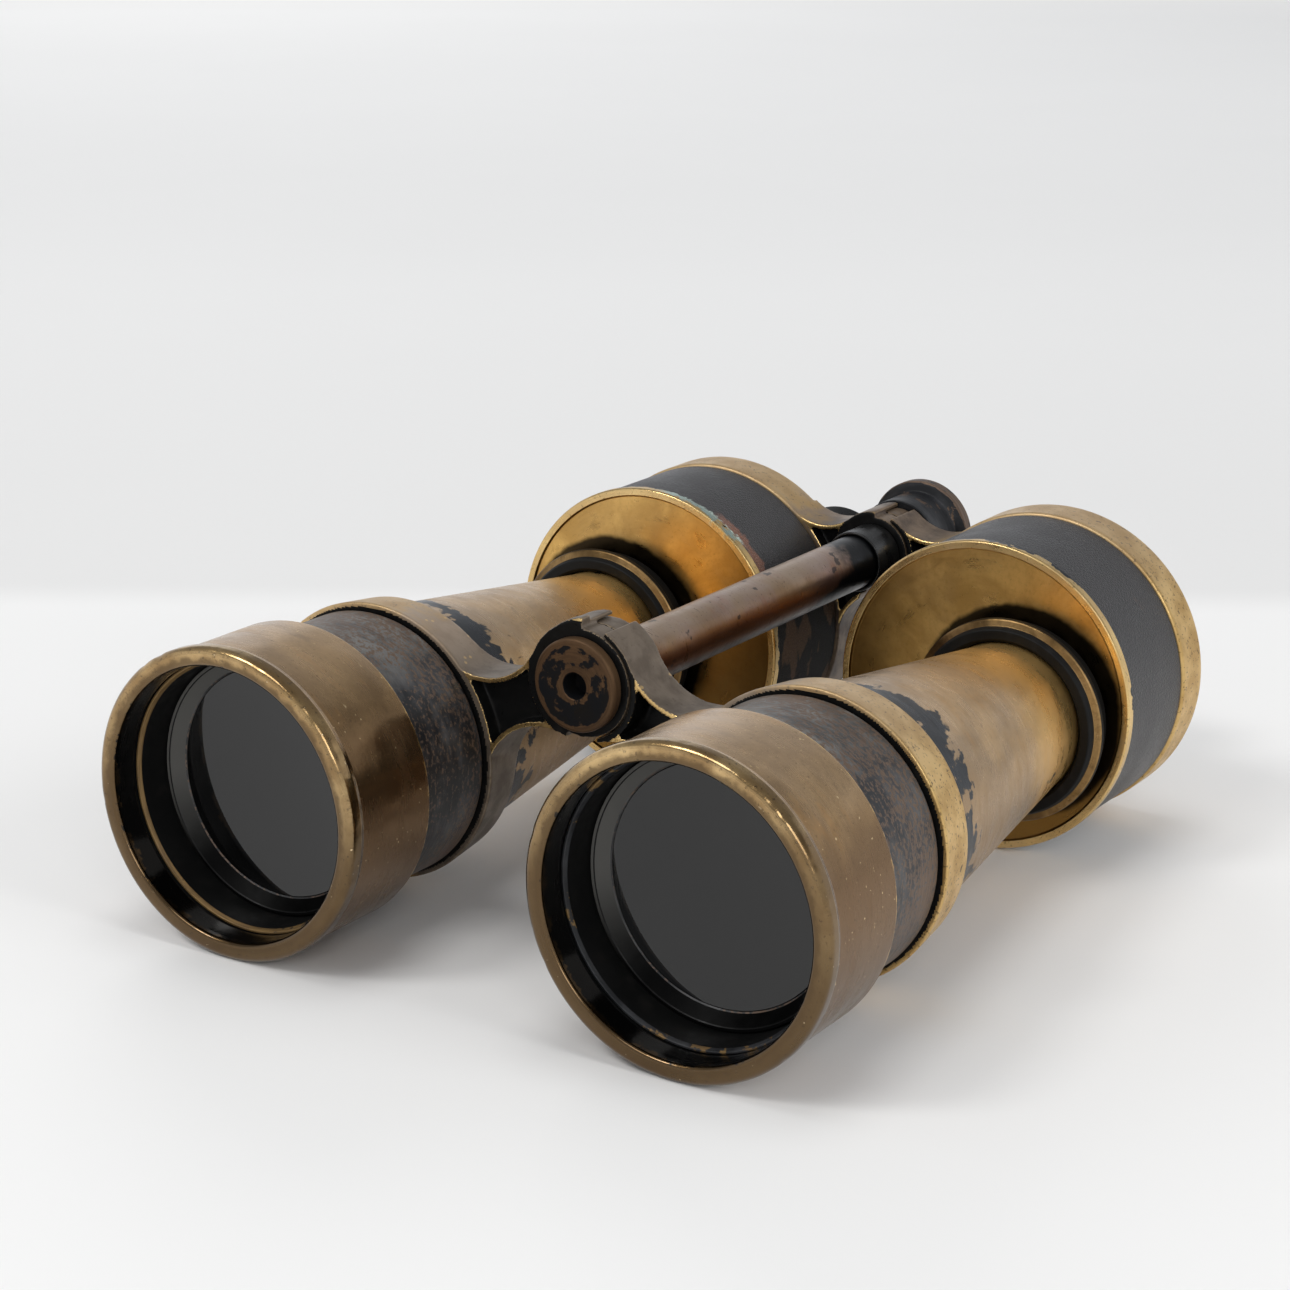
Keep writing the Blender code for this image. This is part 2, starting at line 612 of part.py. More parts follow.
def eyepiece(prefix, side):
    """The fixed tube, the focusing ring on it, and the draw tube with eyecup and lenses."""
    spigot = cap_hole - gap
    tube = [(spigot, cap_front), (spigot, flange_front), (eyepiece_flange_radius, flange_front),
            (eyepiece_flange_radius, flange_back), (eyepiece_tube_radius, flange_back),
            (eyepiece_tube_radius, eyepiece_tube_back), (eyepiece_bore, eyepiece_tube_back),
            (eyepiece_bore, cap_front)]
    turned(prefix + "eyepiece_tube", tube, eyepiece_axis, side, turns_middle, aged_brass)

    inner = eyepiece_tube_radius + gap
    outer = inner + focus_ring_wall
    step = focus_ring_step
    focus = [(outer - step, focus_ring_front), (outer - step, focus_ring_front + 2 * step),
             (outer, focus_ring_front + 3 * step), (outer, focus_ring_back),
             (inner, focus_ring_back), (inner, focus_ring_front)]
    turned(prefix + "focus_ring", focus, eyepiece_axis, side, turns_middle, black_lacquer)

    ring(prefix + "draw_tube", draw_radius, draw_bore, draw_tube_front, draw_tube_back,
         eyepiece_axis, side, turns_small, brass)
    socket = draw_radius + gap
    floor = draw_tube_back + gap
    cup = [(socket + eyecup_wall, eyecup_front), (socket + eyecup_wall, floor),
           (eyecup_radius, eyecup_back - eyecup_wall / 2), (eyecup_radius - eyecup_wall / 2, eyecup_back),
           (eyecup_radius - eyecup_wall, eyecup_back), (eye_opening_radius, floor + eyecup_floor),
           (eye_opening_radius, floor), (socket, floor), (socket, eyecup_front)]
    turned(prefix + "eyecup", cup, eyepiece_axis, side, turns_middle, ebonite)
    ocular_lens(prefix + "eye_lens", ocular_radius, eye_lens_front, eye_lens_thickness, side)
    ocular_lens(prefix + "field_lens", ocular_radius, field_lens_front, field_lens_thickness, side)
    ring(prefix + "field_stop", ocular_radius, field_stop_opening, field_stop_front,
         field_stop_front + field_stop_thickness, eyepiece_axis, side, turns_small, black_lacquer)


def hinge():
    """The tube that both bridges turn on, with its spindle, screw, collar and rear cap."""
    bore = hinge_tube_radius - hinge_tube_wall
    spigot = bore - gap
    hub_front = front_bridge_front
    ring("hinge_tube", hinge_tube_radius, bore, hub_front, hinge_tube_back, hinge_axis, 1,
         turns_middle, bronze)
    disc_back = hub_front - gap
    disc_front = disc_back - hinge_screw_thickness
    spigot_back = hub_front + hinge_spigot_length
    screw = [(0, disc_front + hinge_screw_depth), (hinge_screw_hole, disc_front + hinge_screw_depth),
             (hinge_screw_hole, disc_front), (hinge_screw_radius - hinge_screw_chamfer, disc_front),
             (hinge_screw_radius, disc_front + hinge_screw_chamfer), (hinge_screw_radius, disc_back),
             (spigot, disc_back), (spigot, spigot_back), (0, spigot_back)]
    turned("hinge_screw", screw, hinge_axis, 1, turns_middle, black_lacquer)

    cap_start = rear_bridge_back + gap
    cap_end = cap_start + hinge_cap_length
    flange = cap_end - hinge_cap_flange
    spigot_front = rear_bridge_back - hinge_spigot_length
    cap = [(0, spigot_front), (spigot, spigot_front), (spigot, cap_start), (hinge_cap_radius, cap_start),
           (hinge_cap_radius, flange - hinge_cap_chamfer), (hinge_cap_flange_radius, flange),
           (hinge_cap_flange_radius, cap_end - hinge_cap_chamfer),
           (hinge_cap_flange_radius - hinge_cap_chamfer, cap_end), (0, cap_end)]
    turned("hinge_cap", cap, hinge_axis, 1, turns_middle, black_lacquer)
    rod("hinge_spindle", spigot, spigot_back + gap, spigot_front - gap, hinge_axis, 1, turns_small, bronze)
    collar_back = rear_bridge_front - gap
    ring("hinge_collar", hinge_collar_radius, hinge_bore, collar_back - hinge_collar_length, collar_back,
         hinge_axis, 1, turns_middle, black_lacquer)


def hang_left_half():
    """Parent the left barrel's pieces to an empty on the hinge axis."""
    pivot = bpy.data.objects.new("left_half_pivot", None)
    collection.objects.link(pivot)
    pivot.location = (0, 0, hinge_axis.y)
    bpy.context.view_layer.update()
    for piece in list(collection.objects):
        if piece.name.startswith("left_") and piece is not pivot:
            place = piece.matrix_world.copy()
            piece.parent = pivot
            piece.matrix_parent_inverse = pivot.matrix_world.inverted()
            piece.matrix_world = place


def main():
    clear_scene()
    for prefix, side in (("left_", 1), ("right_", -1)):
        objective(prefix, side)
        bridge(prefix + "front_bridge", side, front_form, side < 0)
        drum(prefix, side)
        bridge(prefix + "rear_bridge", side, rear_form, False)
        eyepiece(prefix, side)
    hinge()
    hang_left_half()


main()
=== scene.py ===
# Old marine binoculars on a pale table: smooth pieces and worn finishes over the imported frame.
import math
import random
import bmesh
import bpy
import numpy as np
from mathutils import Matrix, Vector


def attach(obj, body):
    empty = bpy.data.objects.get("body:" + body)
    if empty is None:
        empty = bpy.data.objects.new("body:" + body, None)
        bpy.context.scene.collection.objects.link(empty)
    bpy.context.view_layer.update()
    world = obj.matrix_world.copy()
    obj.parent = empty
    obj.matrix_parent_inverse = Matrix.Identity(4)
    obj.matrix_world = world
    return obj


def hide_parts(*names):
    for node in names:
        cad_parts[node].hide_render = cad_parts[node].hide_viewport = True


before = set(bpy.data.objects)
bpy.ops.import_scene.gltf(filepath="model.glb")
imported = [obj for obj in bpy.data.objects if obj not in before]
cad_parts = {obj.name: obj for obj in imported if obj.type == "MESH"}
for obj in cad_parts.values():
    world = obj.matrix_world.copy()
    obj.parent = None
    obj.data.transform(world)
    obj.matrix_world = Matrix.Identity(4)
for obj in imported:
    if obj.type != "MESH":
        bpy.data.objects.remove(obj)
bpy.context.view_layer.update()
print("frame loaded:", len(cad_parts), "nodes")

# Lengths below are in mm. A station is measured along the barrel, from the middle of the hood's rolled rim.
mm = 0.001
middleStation = 110.5               # the station at y = 0
slack = 0.3                         # open joint between neighbouring pieces
axes = {"objective": (54.85, 34.0), "drum": (45.65, 36.5), "eyepiece": (33.014, 39.934),
        "hinge": (0.0, 56.898)}
sides = (("left", 1), ("right", -1))
random.seed(7)


# Corners are (radius, station, rounding, zone). The zone is the finish of the face that starts there.
# A rounding or zone that is left out is 0.
def softOutline(corners, step):
    corners = [(*corner, 0, 0)[:4] for corner in corners]
    points, count = [], len(corners)
    for i, (radius, station, rounding, zone) in enumerate(corners):
        here = Vector((radius, station))
        back = Vector(corners[i - 1][:2]) - here
        ahead = Vector(corners[(i + 1) % count][:2]) - here
        bend = back.angle(ahead)
        lastZone = corners[i - 1][3]
        if rounding > 0 and bend < math.radians(178):
            reach = min(rounding / math.tan(bend / 2), 0.49 * back.length, 0.49 * ahead.length)
            arcRadius = reach * math.tan(bend / 2)
            inward = (back.normalized() + ahead.normalized()).normalized()
            middle = here + inward * arcRadius / math.sin(bend / 2)
            first = here + back.normalized() * reach - middle
            last = here + ahead.normalized() * reach - middle
            parts = max(2, math.ceil((math.pi - bend) / math.radians(18)))
            turn = math.atan2(first.x * last.y - first.y * last.x, first.dot(last))
            for k in range(parts + 1):
                swing = Matrix.Rotation(turn * k / parts, 2) @ first
                points.append((middle.x + swing.x, middle.y + swing.y, lastZone if k < parts / 2 else zone))
        else:
            points.append((radius, station, zone))
    full = []
    for i, (r, s, zone) in enumerate(points):
        r2, s2, _ = points[(i + 1) % len(points)]
        pieces = max(1, math.ceil(math.hypot(r2 - r, s2 - s) / step))
        for k in range(pieces):
            full.append((r + (r2 - r) * k / pieces, s + (s2 - s) * k / pieces, zone))
    return full


def addObject(name, data):
    made = bpy.data.objects.new(name, data)
    bpy.context.scene.collection.objects.link(made)
    return made


def meshPiece(name, verts, faces, zones):
    mesh = bpy.data.meshes.new(name)
    mesh.from_pydata([tuple(c * mm for c in v) for v in verts], [], faces)
    mesh.polygons.foreach_set("material_index", zones)
    shape = bmesh.new()
    shape.from_mesh(mesh)
    bmesh.ops.remove_doubles(shape, verts=shape.verts, dist=1e-6)
    bmesh.ops.recalc_face_normals(shape, faces=shape.faces)
    shape.to_mesh(mesh)
    shape.free()
    return addObject(name, mesh)


# A turned piece: the outline goes round its axis.
def turnPiece(name, corners, axis, side, turns=160, step=3.0):
    outline = softOutline(corners, step)
    centreX, centreZ = side * axes[axis][0], axes[axis][1]
    verts, faces, zones = [], [], []
    count = len(outline)
    for j in range(turns):
        angle = 2 * math.pi * j / turns
        c, s = math.cos(angle), math.sin(angle)
        verts += [(centreX + r * c, station - middleStation, centreZ + r * s) for r, station, _ in outline]
    for j in range(turns):
        here, beside = j * count, (j + 1) % turns * count
        for i in range(count):
            k = (i + 1) % count
            if outline[i][0] < 1e-6 and outline[k][0] < 1e-6:
                continue
            faces.append((here + i, here + k, beside + k, beside + i))
            zones.append(outline[i][2])
    return meshPiece(name, verts, faces, zones)


# An outline of (x, z) points carried along the barrel between two stations.
def slabPiece(name, outline, front, back, side):
    count = len(outline)
    verts = [(side * x, front - middleStation, z) for x, z in outline]
    verts += [(side * x, back - middleStation, z) for x, z in outline]
    faces = [tuple(range(count)), tuple(range(2 * count - 1, count - 1, -1))]
    faces += [(i, i + count, (i + 1) % count + count, (i + 1) % count) for i in range(count)]
    return meshPiece(name, verts, faces, [0] * len(faces))


def applyAll(piece):
    shown = piece.evaluated_get(bpy.context.evaluated_depsgraph_get())
    mesh = bpy.data.meshes.new_from_object(shown)
    piece.modifiers.clear()
    piece.data = mesh


def joinShape(piece, other, way):
    step = piece.modifiers.new("join", "BOOLEAN")
    step.operation, step.solver, step.object = way, "EXACT", other
    applyAll(piece)
    bpy.data.objects.remove(other)


# Shallow dents, as (place, reach, depth) in mm.
def dentPiece(piece, dents):
    mesh = piece.data
    count = len(mesh.vertices)
    places = np.zeros(count * 3)
    mesh.vertices.foreach_get("co", places)
    normals = np.zeros(count * 3)
    mesh.vertices.foreach_get("normal", normals)
    places, normals = places.reshape(-1, 3) / mm, normals.reshape(-1, 3)
    for centre, reach, depth in dents:
        away = np.linalg.norm(places - np.array(centre), axis=1) / reach
        amount = np.clip(1 - away ** 2, 0, 1) ** 2 * depth
        places = places - normals * amount[:, None]
    mesh.vertices.foreach_set("co", (places * mm).ravel())
    mesh.update()


# What every finished piece gets: its finishes, smooth shading, body and the nodes that it stands for.
def finishPiece(piece, looks, body, slot, *nodes):
    for look in looks:
        piece.data.materials.append(finishes[look])
    piece.data.polygons.foreach_set("use_smooth", [True] * len(piece.data.polygons))
    weigh = piece.modifiers.new("faceNormals", "WEIGHTED_NORMAL")
    weigh.weight, weigh.keep_sharp = 90, False
    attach(piece, body)
    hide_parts(*nodes)


# Every new node goes into the node tree that is being filled. A new finish starts a new tree.
filling = {}


def newFinish(name):
    finish = bpy.data.materials.new(name)
    finish.use_nodes = True
    filling["tree"] = finish.node_tree
    finish.node_tree.nodes.clear()
    return finish


def addNode(kind, inputs=None, **settings):
    tree = filling["tree"]
    made = tree.nodes.new("ShaderNode" + kind)
    for key, value in settings.items():
        setattr(made, key, value)
    for key, value in (inputs or {}).items():
        if isinstance(value, bpy.types.NodeSocket):
            tree.links.new(value, made.inputs[key])
        else:
            made.inputs[key].default_value = value
    return made


def place():
    return addNode("TexCoord").outputs["Object"]


def calc(way, a, b=0.0, c=0.0, clamp=False):
    return addNode("Math", {0: a, 1: b, 2: c}, operation=way, use_clamp=clamp).outputs[0]


def plus(a, b):
    return calc("ADD", a, b)


def minus(a, b):
    return calc("SUBTRACT", a, b)


def times(a, b):
    return calc("MULTIPLY", a, b)


def split(spot):
    return addNode("SeparateXYZ", {0: spot}).outputs


def stretched(spot, factors):
    return addNode("VectorMath", {0: spot, 1: factors}, operation="MULTIPLY").outputs[0]


# Noise whose grain can be drawn out along any direction by the stretch.
def grain(spot, scale, stretch=(1, 1, 1), detail=4.0, rough=0.55, twist=0.0):
    drawn = stretched(spot, tuple(s * scale for s in stretch))
    return addNode("TexNoise", {"Vector": drawn, "Scale": 1.0, "Detail": detail, "Roughness": rough,
                                "Distortion": twist}).outputs["Fac"]


def ramp(value, low, high, start=0.0, end=1.0):
    return addNode("MapRange", {"Value": value, "From Min": low, "From Max": high, "To Min": start,
                                "To Max": end}, clamp=True, interpolation_type="SMOOTHSTEP").outputs[0]


def blendColour(amount, a, b):
    a, b = ((*colour, 1.0) if isinstance(colour, tuple) else colour for colour in (a, b))
    return addNode("Mix", {"Factor": amount, 6: a, 7: b}, data_type="RGBA").outputs[2]


def blendValue(amount, a, b):
    return addNode("Mix", {"Factor": amount, 2: a, 3: b}, data_type="FLOAT").outputs[0]


def bumpUp(height, distance, strength=1.0, under=None):
    inputs = {"Height": height, "Distance": distance * mm, "Strength": strength}
    if under is not None:
        inputs["Normal"] = under
    return addNode("Bump", inputs).outputs["Normal"]


def closeFinish(colour, metallic, roughness, normal=None, **fixed):
    inputs = {"Base Color": colour, "Metallic": metallic, "Roughness": roughness, **fixed}
    if normal is not None:
        inputs["Normal"] = normal
    return addNode("OutputMaterial", {"Surface": addNode("BsdfPrincipled", inputs).outputs[0]})


# Where a dense mesh has sharp outer edges.
def edgeWear(low=0.52, high=0.60):
    return ramp(addNode("NewGeometry").outputs["Pointiness"], low, high)


# Noise as a ragged shift between two values.
def drift(spot, scale, least, most, **kinds):
    return ramp(grain(spot, scale, **kinds), 0.3, 0.7, least, most)


# The place laid out round a barrel's axis: (along the curve, along the barrel, out from the axis). The seam
# is underneath, and each barrel has an offset of its own, so that the two wear differently. With it comes how
# far up the place is on its circle, from -1 to 1. A spread is the radius, in mm, at which the curve is
# measured.
spreads = {"objective": 30.0, "drum": 36.0, "eyepiece": 13.0, "hinge": 7.0}
barrelOffset = 0.37                 # metres along the curve


def roundPlace(axis):
    x, y, z = split(place())
    own = times(calc("SIGN", x), barrelOffset) if axis != "hinge" else 0.0
    across = minus(calc("ABSOLUTE", x) if axis != "hinge" else x, axes[axis][0] * mm)
    up = minus(z, axes[axis][1] * mm)
    angle = calc("ARCTAN2", across, up)
    away = calc("SQRT", plus(times(across, across), times(up, up)))
    curve = plus(times(angle, spreads[axis] * mm), own)
    spot = addNode("CombineXYZ", {0: curve, 1: y, 2: away}).outputs[0]
    return spot, calc("DIVIDE", up, calc("MAXIMUM", away, 0.1 * mm))


# How far sideways a point is in metres. The left barrel is at x > 0.
def sidewaysOf():
    return split(place())[0]


def fromMiddle():
    return calc("ABSOLUTE", sidewaysOf())


# How far along the barrel a point is, as a station in mm.
def stationOf():
    return calc("MULTIPLY_ADD", split(place())[1], 1 / mm, middleStation)


def outFrom(spot):
    return calc("DIVIDE", split(spot)[2], mm)


# Some tones paint light and shade: the plate's side towards the hinge, the cone's two halves, the dark under
# the hinge tube and between the drums, and the pale dust and film on tops, which are partly a painted sheen.
tones = {
    "gold": (0.68, 0.46, 0.19), "brightGold": (0.82, 0.58, 0.25), "deepGold": (0.47, 0.28, 0.085),
    "paleGold": (0.80, 0.60, 0.34), "bareGold": (0.80, 0.50, 0.17), "bandGold": (0.52, 0.33, 0.12),
    "rimGold": (0.72, 0.50, 0.235), "rimBrown": (0.34, 0.21, 0.085), "umber": (0.10, 0.058, 0.022),
    "plate": (0.72, 0.44, 0.14), "plateShade": (0.50, 0.29, 0.085), "plateUnder": (0.26, 0.14, 0.035),
    "hingeSideShade": (0.10, 0.052, 0.012), "brown": (0.55, 0.355, 0.165), "dullBrown": (0.33, 0.21, 0.10),
    "under": (0.17, 0.10, 0.05), "haze": (0.34, 0.26, 0.18), "dust": (0.58, 0.43, 0.30),
    "greyDustAndSheen": (0.42, 0.35, 0.31), "paleFilmAndSheen": (0.20, 0.19, 0.175), "film": (0.085, 0.083, 0.084),
    "barrelBrown": (0.175, 0.122, 0.092), "discBrown": (0.12, 0.068, 0.036), "mouthGold": (0.30, 0.185, 0.07),
    "frontGrey": (0.18, 0.143, 0.108), "frontDark": (0.11, 0.085, 0.063), "rearGrey": (0.19, 0.135, 0.09),
    "rearDark": (0.07, 0.05, 0.038), "orange": (0.60, 0.31, 0.085), "dark": (0.045, 0.028, 0.017),
    "stainAndShade": (0.012, 0.010, 0.008), "lacquer": (0.009, 0.0095, 0.011), "dusty": (0.045, 0.046, 0.050),
    "slate": (0.020, 0.023, 0.028), "bronze": (0.36, 0.245, 0.20), "underBronze": (0.11, 0.045, 0.025),
    "rust": (0.36, 0.13, 0.06), "verdigris": (0.50, 0.62, 0.55), "copper": (0.18, 0.08, 0.05),
    "paint": (0.006, 0.006, 0.006), "dustyPaint": (0.026, 0.023, 0.020), "coneShade": (0.002, 0.002, 0.002),
    "coneLit": (0.11, 0.107, 0.10), "leather": (0.020, 0.019, 0.020), "paleLeather": (0.036, 0.034, 0.035),
    "scuff": (0.12, 0.075, 0.05), "crease": (0.015, 0.014, 0.014), "glass": (0.0006, 0.0006, 0.0006),
    "paleGlass": (0.0009, 0.0009, 0.0009)}


def tinted(colour, tone, amount):
    return blendColour(amount, colour, tones[tone])


# A tone over a colour where a value goes from low to high. The share is how much of it shows at most.
def over(colour, tone, value, low, high, share=1.0):
    return tinted(colour, tone, ramp(value, low, high, 0, share))


# Patinated metal: clouds of shade and haze, hairlines round the axis, pits and specks. A look can have pale
# dust on its top, partly a painted sheen, and be darker below.
def agedMetal(name, look):
    finish = newFinish(name)
    spot, up = roundPlace(look["axis"])
    clouds = grain(spot, 60, detail=4, twist=0.5)
    haze = grain(spot, 34, detail=3, twist=0.8)
    smears = grain(spot, 230, (0.4, 1, 1), detail=6, rough=0.65)
    lines = grain(spot, 2600, (0.035, 1, 1), detail=2)
    pits = grain(spot, look["pitScale"], detail=2, rough=0.6)
    colour = over(tones[look["base"]], look["shade"], clouds, 0.36, 0.66)
    colour = over(colour, "haze", haze, 0.40, 0.64, look["haze"])
    colour = over(colour, look["warm"], smears, 0.54, 0.74, look["warmth"])
    colour = over(colour, "dark", smears, 0.42, 0.28, 0.35)
    mottle = grain(spot, 700, detail=3, rough=0.6)
    colour = over(colour, look["shade"], mottle, 0.45, 0.70, 0.35)
    metal = look["metal"]
    height = plus(up, ramp(haze, 0.3, 0.7, -0.12, 0.12))
    if "under" in look:
        tone, low, high = look["under"]
        colour = over(colour, tone, height, high, low, 0.92)
    # Pale dust on the top, partly a painted sheen.
    if "dust" in look:
        dusty = ramp(height, 0.5, 1.0, 0, look["dust"])
        colour = tinted(colour, look["dustTone"], dusty)
        metal = calc("MULTIPLY_ADD", dusty, -0.5, metal)
    colour = over(colour, "dark", lines, 0.52, 0.75, look["lines"])
    colour = over(colour, "dark", pits, 0.60, 0.74, look["pits"])
    colour = over(colour, "paleGold", grain(spot, 1100, detail=1), 0.74, 0.79, look["specks"])
    if "layer" in look:
        colour = look["layer"](spot, colour)
    rough = ramp(smears, 0.3, 0.75, look["rough"] - 0.06, look["rough"] + 0.1)
    rough = plus(rough, ramp(lines, 0.35, 0.7, -0.02, 0.03))
    normal = bumpUp(lines, 0.004, 0.5)
    normal = bumpUp(pits, look["pitDepth"], 0.6, normal)
    normal = bumpUp(clouds, 0.25, 0.3, normal)
    closeFinish(colour, metal, rough, normal, **look["fixed"])
    return finish


# Where each kind of wear starts and ends. Stations and distances out from an axis are in mm. Those named
# Side, Height or Round are in metres: sideways, up, or along the curve.
wear = {
    "tubeGold": (112, 136), "tubeLacquer": (60, 88), "hoodEdge": (24.9, 25.4), "rimGrime": (32.4, 30.9),
    "paintStart": (-0.4, -0.1), "paintOut": (31.4, 31.0), "plateSide": (0.030, 0.012),
    "plateStain": (26.3, 24.9), "capLacquer": (14, 30), "greenRoundStart": (-0.030, -0.025),
    "greenRoundEnd": (-0.001, -0.006), "redRoundStart": (-0.046, -0.040), "redRoundEnd": (-0.016, -0.021),
    "chipRound": (0.012, 0.035), "chip": (147.9, 148.1), "chipOut": (36.2, 36.35), "chipEnd": (149.5, 149.4),
    "bloomStart": (147.3, 147.8), "bloomEnd": (151.0, 150.0), "bareStart": (149.4, 149.9),
    "bareEnd": (153.4, 152.4), "hingeBlack": (153, 159), "barrelBand": (30, 46), "barrelSide": (0.045, 0.08),
    "discRim": (8.2, 9.6), "discHole": (5.0, 3.6), "discInHole": (3.0, 2.8), "capRim": (12.5, 13.2),
    "rightSide": (0.001, -0.001), "leatherSide": (0.024, 0.013), "leatherHeight": (0.056, 0.046)}


# The body tube: slate lacquer left in ragged patches behind the band, and bare gold towards the collar.
def tubeLayers(spot, colour):
    station = stationOf()
    ahead = plus(station, times(grain(spot, 90, detail=3), 16.0))
    colour = over(colour, "bareGold", ahead, *wear["tubeGold"], 0.85)
    left = grain(spot, 110, detail=3, rough=0.5, twist=0.6)
    left = plus(left, times(grain(spot, 520, detail=5, rough=0.65), 0.30))
    left = minus(left, ramp(station, *wear["tubeLacquer"], 0.0, 0.40))
    return over(colour, "slate", left, 0.485, 0.535)


# The hood: a line of worn gold at its rear edge.
def hoodLayers(spot, colour):
    reach = plus(stationOf(), drift(spot, 400, -0.5, 0.2, detail=3))
    return over(colour, "gold", reach, *wear["hoodEdge"], 0.8)


# The hood's rim: duller on the left barrel. The black paint inside starts raggedly just behind its front.
def rimLayers(spot, colour):
    ragged = drift(spot, 350, -1.3, 1.3, detail=5, rough=0.65)
    depth, out = plus(stationOf(), ragged), outFrom(spot)
    onLeft = calc("GREATER_THAN", sidewaysOf(), 0.0)
    dull = times(onLeft, ramp(roundPlace("objective")[1], 0.97, 0.6, 0, 0.42))
    colour = tinted(colour, "umber", dull)
    colour = over(colour, "umber", plus(out, times(ragged, 0.4)), *wear["rimGrime"], 0.8)
    painted = times(ramp(depth, *wear["paintStart"]), ramp(out, *wear["paintOut"]))
    return tinted(colour, "stainAndShade", painted)


# The plate: painted shade towards the hinge, and a soft black ring round the collar.
def plateLayers(spot, colour):
    around, up = roundPlace("objective")
    reach = plus(outFrom(around), drift(spot, 120, -0.3, 0.3, detail=3))
    reach = plus(reach, ramp(up, -0.4, 0.7, 0.9, 0.0))
    # Painted shade on the side towards the hinge.
    colour = over(colour, "hingeSideShade", fromMiddle(), *wear["plateSide"], 0.75)
    return over(colour, "stainAndShade", reach, *wear["plateStain"], 0.95)


# The rear cap: black lacquer left round the eyepiece's boss.
def capLayers(spot, colour):
    out = outFrom(roundPlace("eyepiece")[0])
    left = grain(place(), 130, detail=6, rough=0.6)
    left = plus(left, ramp(out, *wear["capLacquer"], 0.16, -0.12))
    return over(colour, "slate", left, 0.50, 0.53, 0.95)


# How much a value lies between one place, where it rises, and another, where it falls.
def within(value, rise, fall):
    return times(ramp(value, *wear[rise]), ramp(value, *wear[fall]))


# Verdigris and bare copper along the top of the right drum's edge, on its hinge side. The plate's rim has
# chipped slate lacquer.
def edgeBloom(spot, colour):
    x, station = sidewaysOf(), stationOf()
    around = calc("MULTIPLY_ADD", calc("SIGN", x), -barrelOffset, split(spot)[0])
    right = calc("LESS_THAN", x, 0.0)
    deep = plus(station, drift(spot, 420, -0.7, 0.7, detail=4))
    chipped = ramp(grain(spot, 90, detail=5, rough=0.6), 0.4, 0.65, -1.6, 0.9)
    chipped = plus(station, chipped)
    chipped = minus(chipped, ramp(calc("ABSOLUTE", around), *wear["chipRound"]))
    onRim = times(ramp(chipped, *wear["chip"]), ramp(outFrom(spot), *wear["chipOut"]))
    onRim = times(onRim, ramp(station, *wear["chipEnd"]))
    colour = tinted(colour, "slate", onRim)
    red = times(within(around, "redRoundStart", "redRoundEnd"), right)
    red = times(red, within(deep, "bareStart", "bareEnd"))
    colour = tinted(colour, "copper", red)
    green = times(within(around, "greenRoundStart", "greenRoundEnd"), right)
    green = times(green, within(deep, "bloomStart", "bloomEnd"))
    green = times(green, ramp(grain(spot, 300, detail=3), 0.36, 0.50))
    return tinted(colour, "verdigris", green)


# The hinge tube: black for its last stretch before the rear bridge, and painted shade underneath, where the
# black also reaches farther forward.
def hingeLayers(spot, colour):
    low = minus(calc("DIVIDE", split(place())[2], mm), axes["hinge"][1])
    reach = plus(stationOf(), drift(spot, 200, -2.0, 2.0, detail=4))
    # Underneath, the black reaches up to 16 mm farther forward, partly as painted shade.
    reach = plus(reach, ramp(low, 3, -4, 0, 16))
    colour = over(colour, "lacquer", reach, *wear["hingeBlack"])
    colour = over(colour, "slate", grain(spot, 210, detail=3), 0.64, 0.69, 0.75)
    # Painted shade on the underside.
    return over(colour, "stainAndShade", low, -1.5, -4.5, 0.9)


# Black lacquer, worn through to metal. The amount says how much, and rubbed says where it is worn most.
def wornLacquer(name, axis, amount=0.5, under="barrelBrown", scale=420.0, gloss=0.4, coating="dusty",
                rubbed=None, soft=0.02, topDustAndSheen=0.0, uneven=0.7):
    finish = newFinish(name)
    spot, up = roundPlace(axis)
    blotch = grain(spot, scale, (0.75, 1, 1), detail=5, rough=0.62, twist=0.2)
    regions = grain(spot, 55, detail=2)
    lines = grain(spot, 2400, (0.06, 1, 1), detail=2, rough=0.6)
    dust = grain(spot, 150, (0.6, 1, 1), detail=6, rough=0.65)
    bare = plus(blotch, times(regions, uneven))
    bare = plus(bare, times(lines, 0.08))
    if rubbed is not None:
        bare = plus(bare, rubbed(spot))
    middle = 0.62 + 0.5 * uneven - amount * 0.14
    bare = ramp(bare, middle - soft, middle + soft, 0, 0.85)
    metal = over(tones[under], "dark", lines, 0.35, 0.68, 0.5)
    metal = over(metal, "under", dust, 0.45, 0.65, 0.4)
    coat = over(tones["lacquer"], coating, dust, 0.40, 0.75)
    # A pale film on the top: dust, and partly a painted sheen.
    dustAndSheenStreaks = times(ramp(up, 0.65, 1.0, 0, topDustAndSheen), ramp(dust, 0.38, 0.58, 0.35, 1.0))
    coat = tinted(coat, "paleFilmAndSheen", dustAndSheenStreaks)
    colour = blendColour(bare, coat, metal)
    rough = blendValue(bare, ramp(plus(lines, dust), 0.8, 1.2, 0.32, 0.48), 0.46)
    normal = bumpUp(lines, 0.006, 0.5)
    normal = bumpUp(minus(1.0, bare), 0.02, 0.8, normal)
    closeFinish(colour, times(bare, 0.6), rough, normal, **{"Specular IOR Level": gloss})
    return finish


# The barrel is rubbed most where it meets the band, on its outer side.
def barrelRub(spot):
    toBand = ramp(stationOf(), *wear["barrelBand"], -0.04, 0.06)
    return plus(toBand, ramp(fromMiddle(), *wear["barrelSide"], -0.06, -0.02))


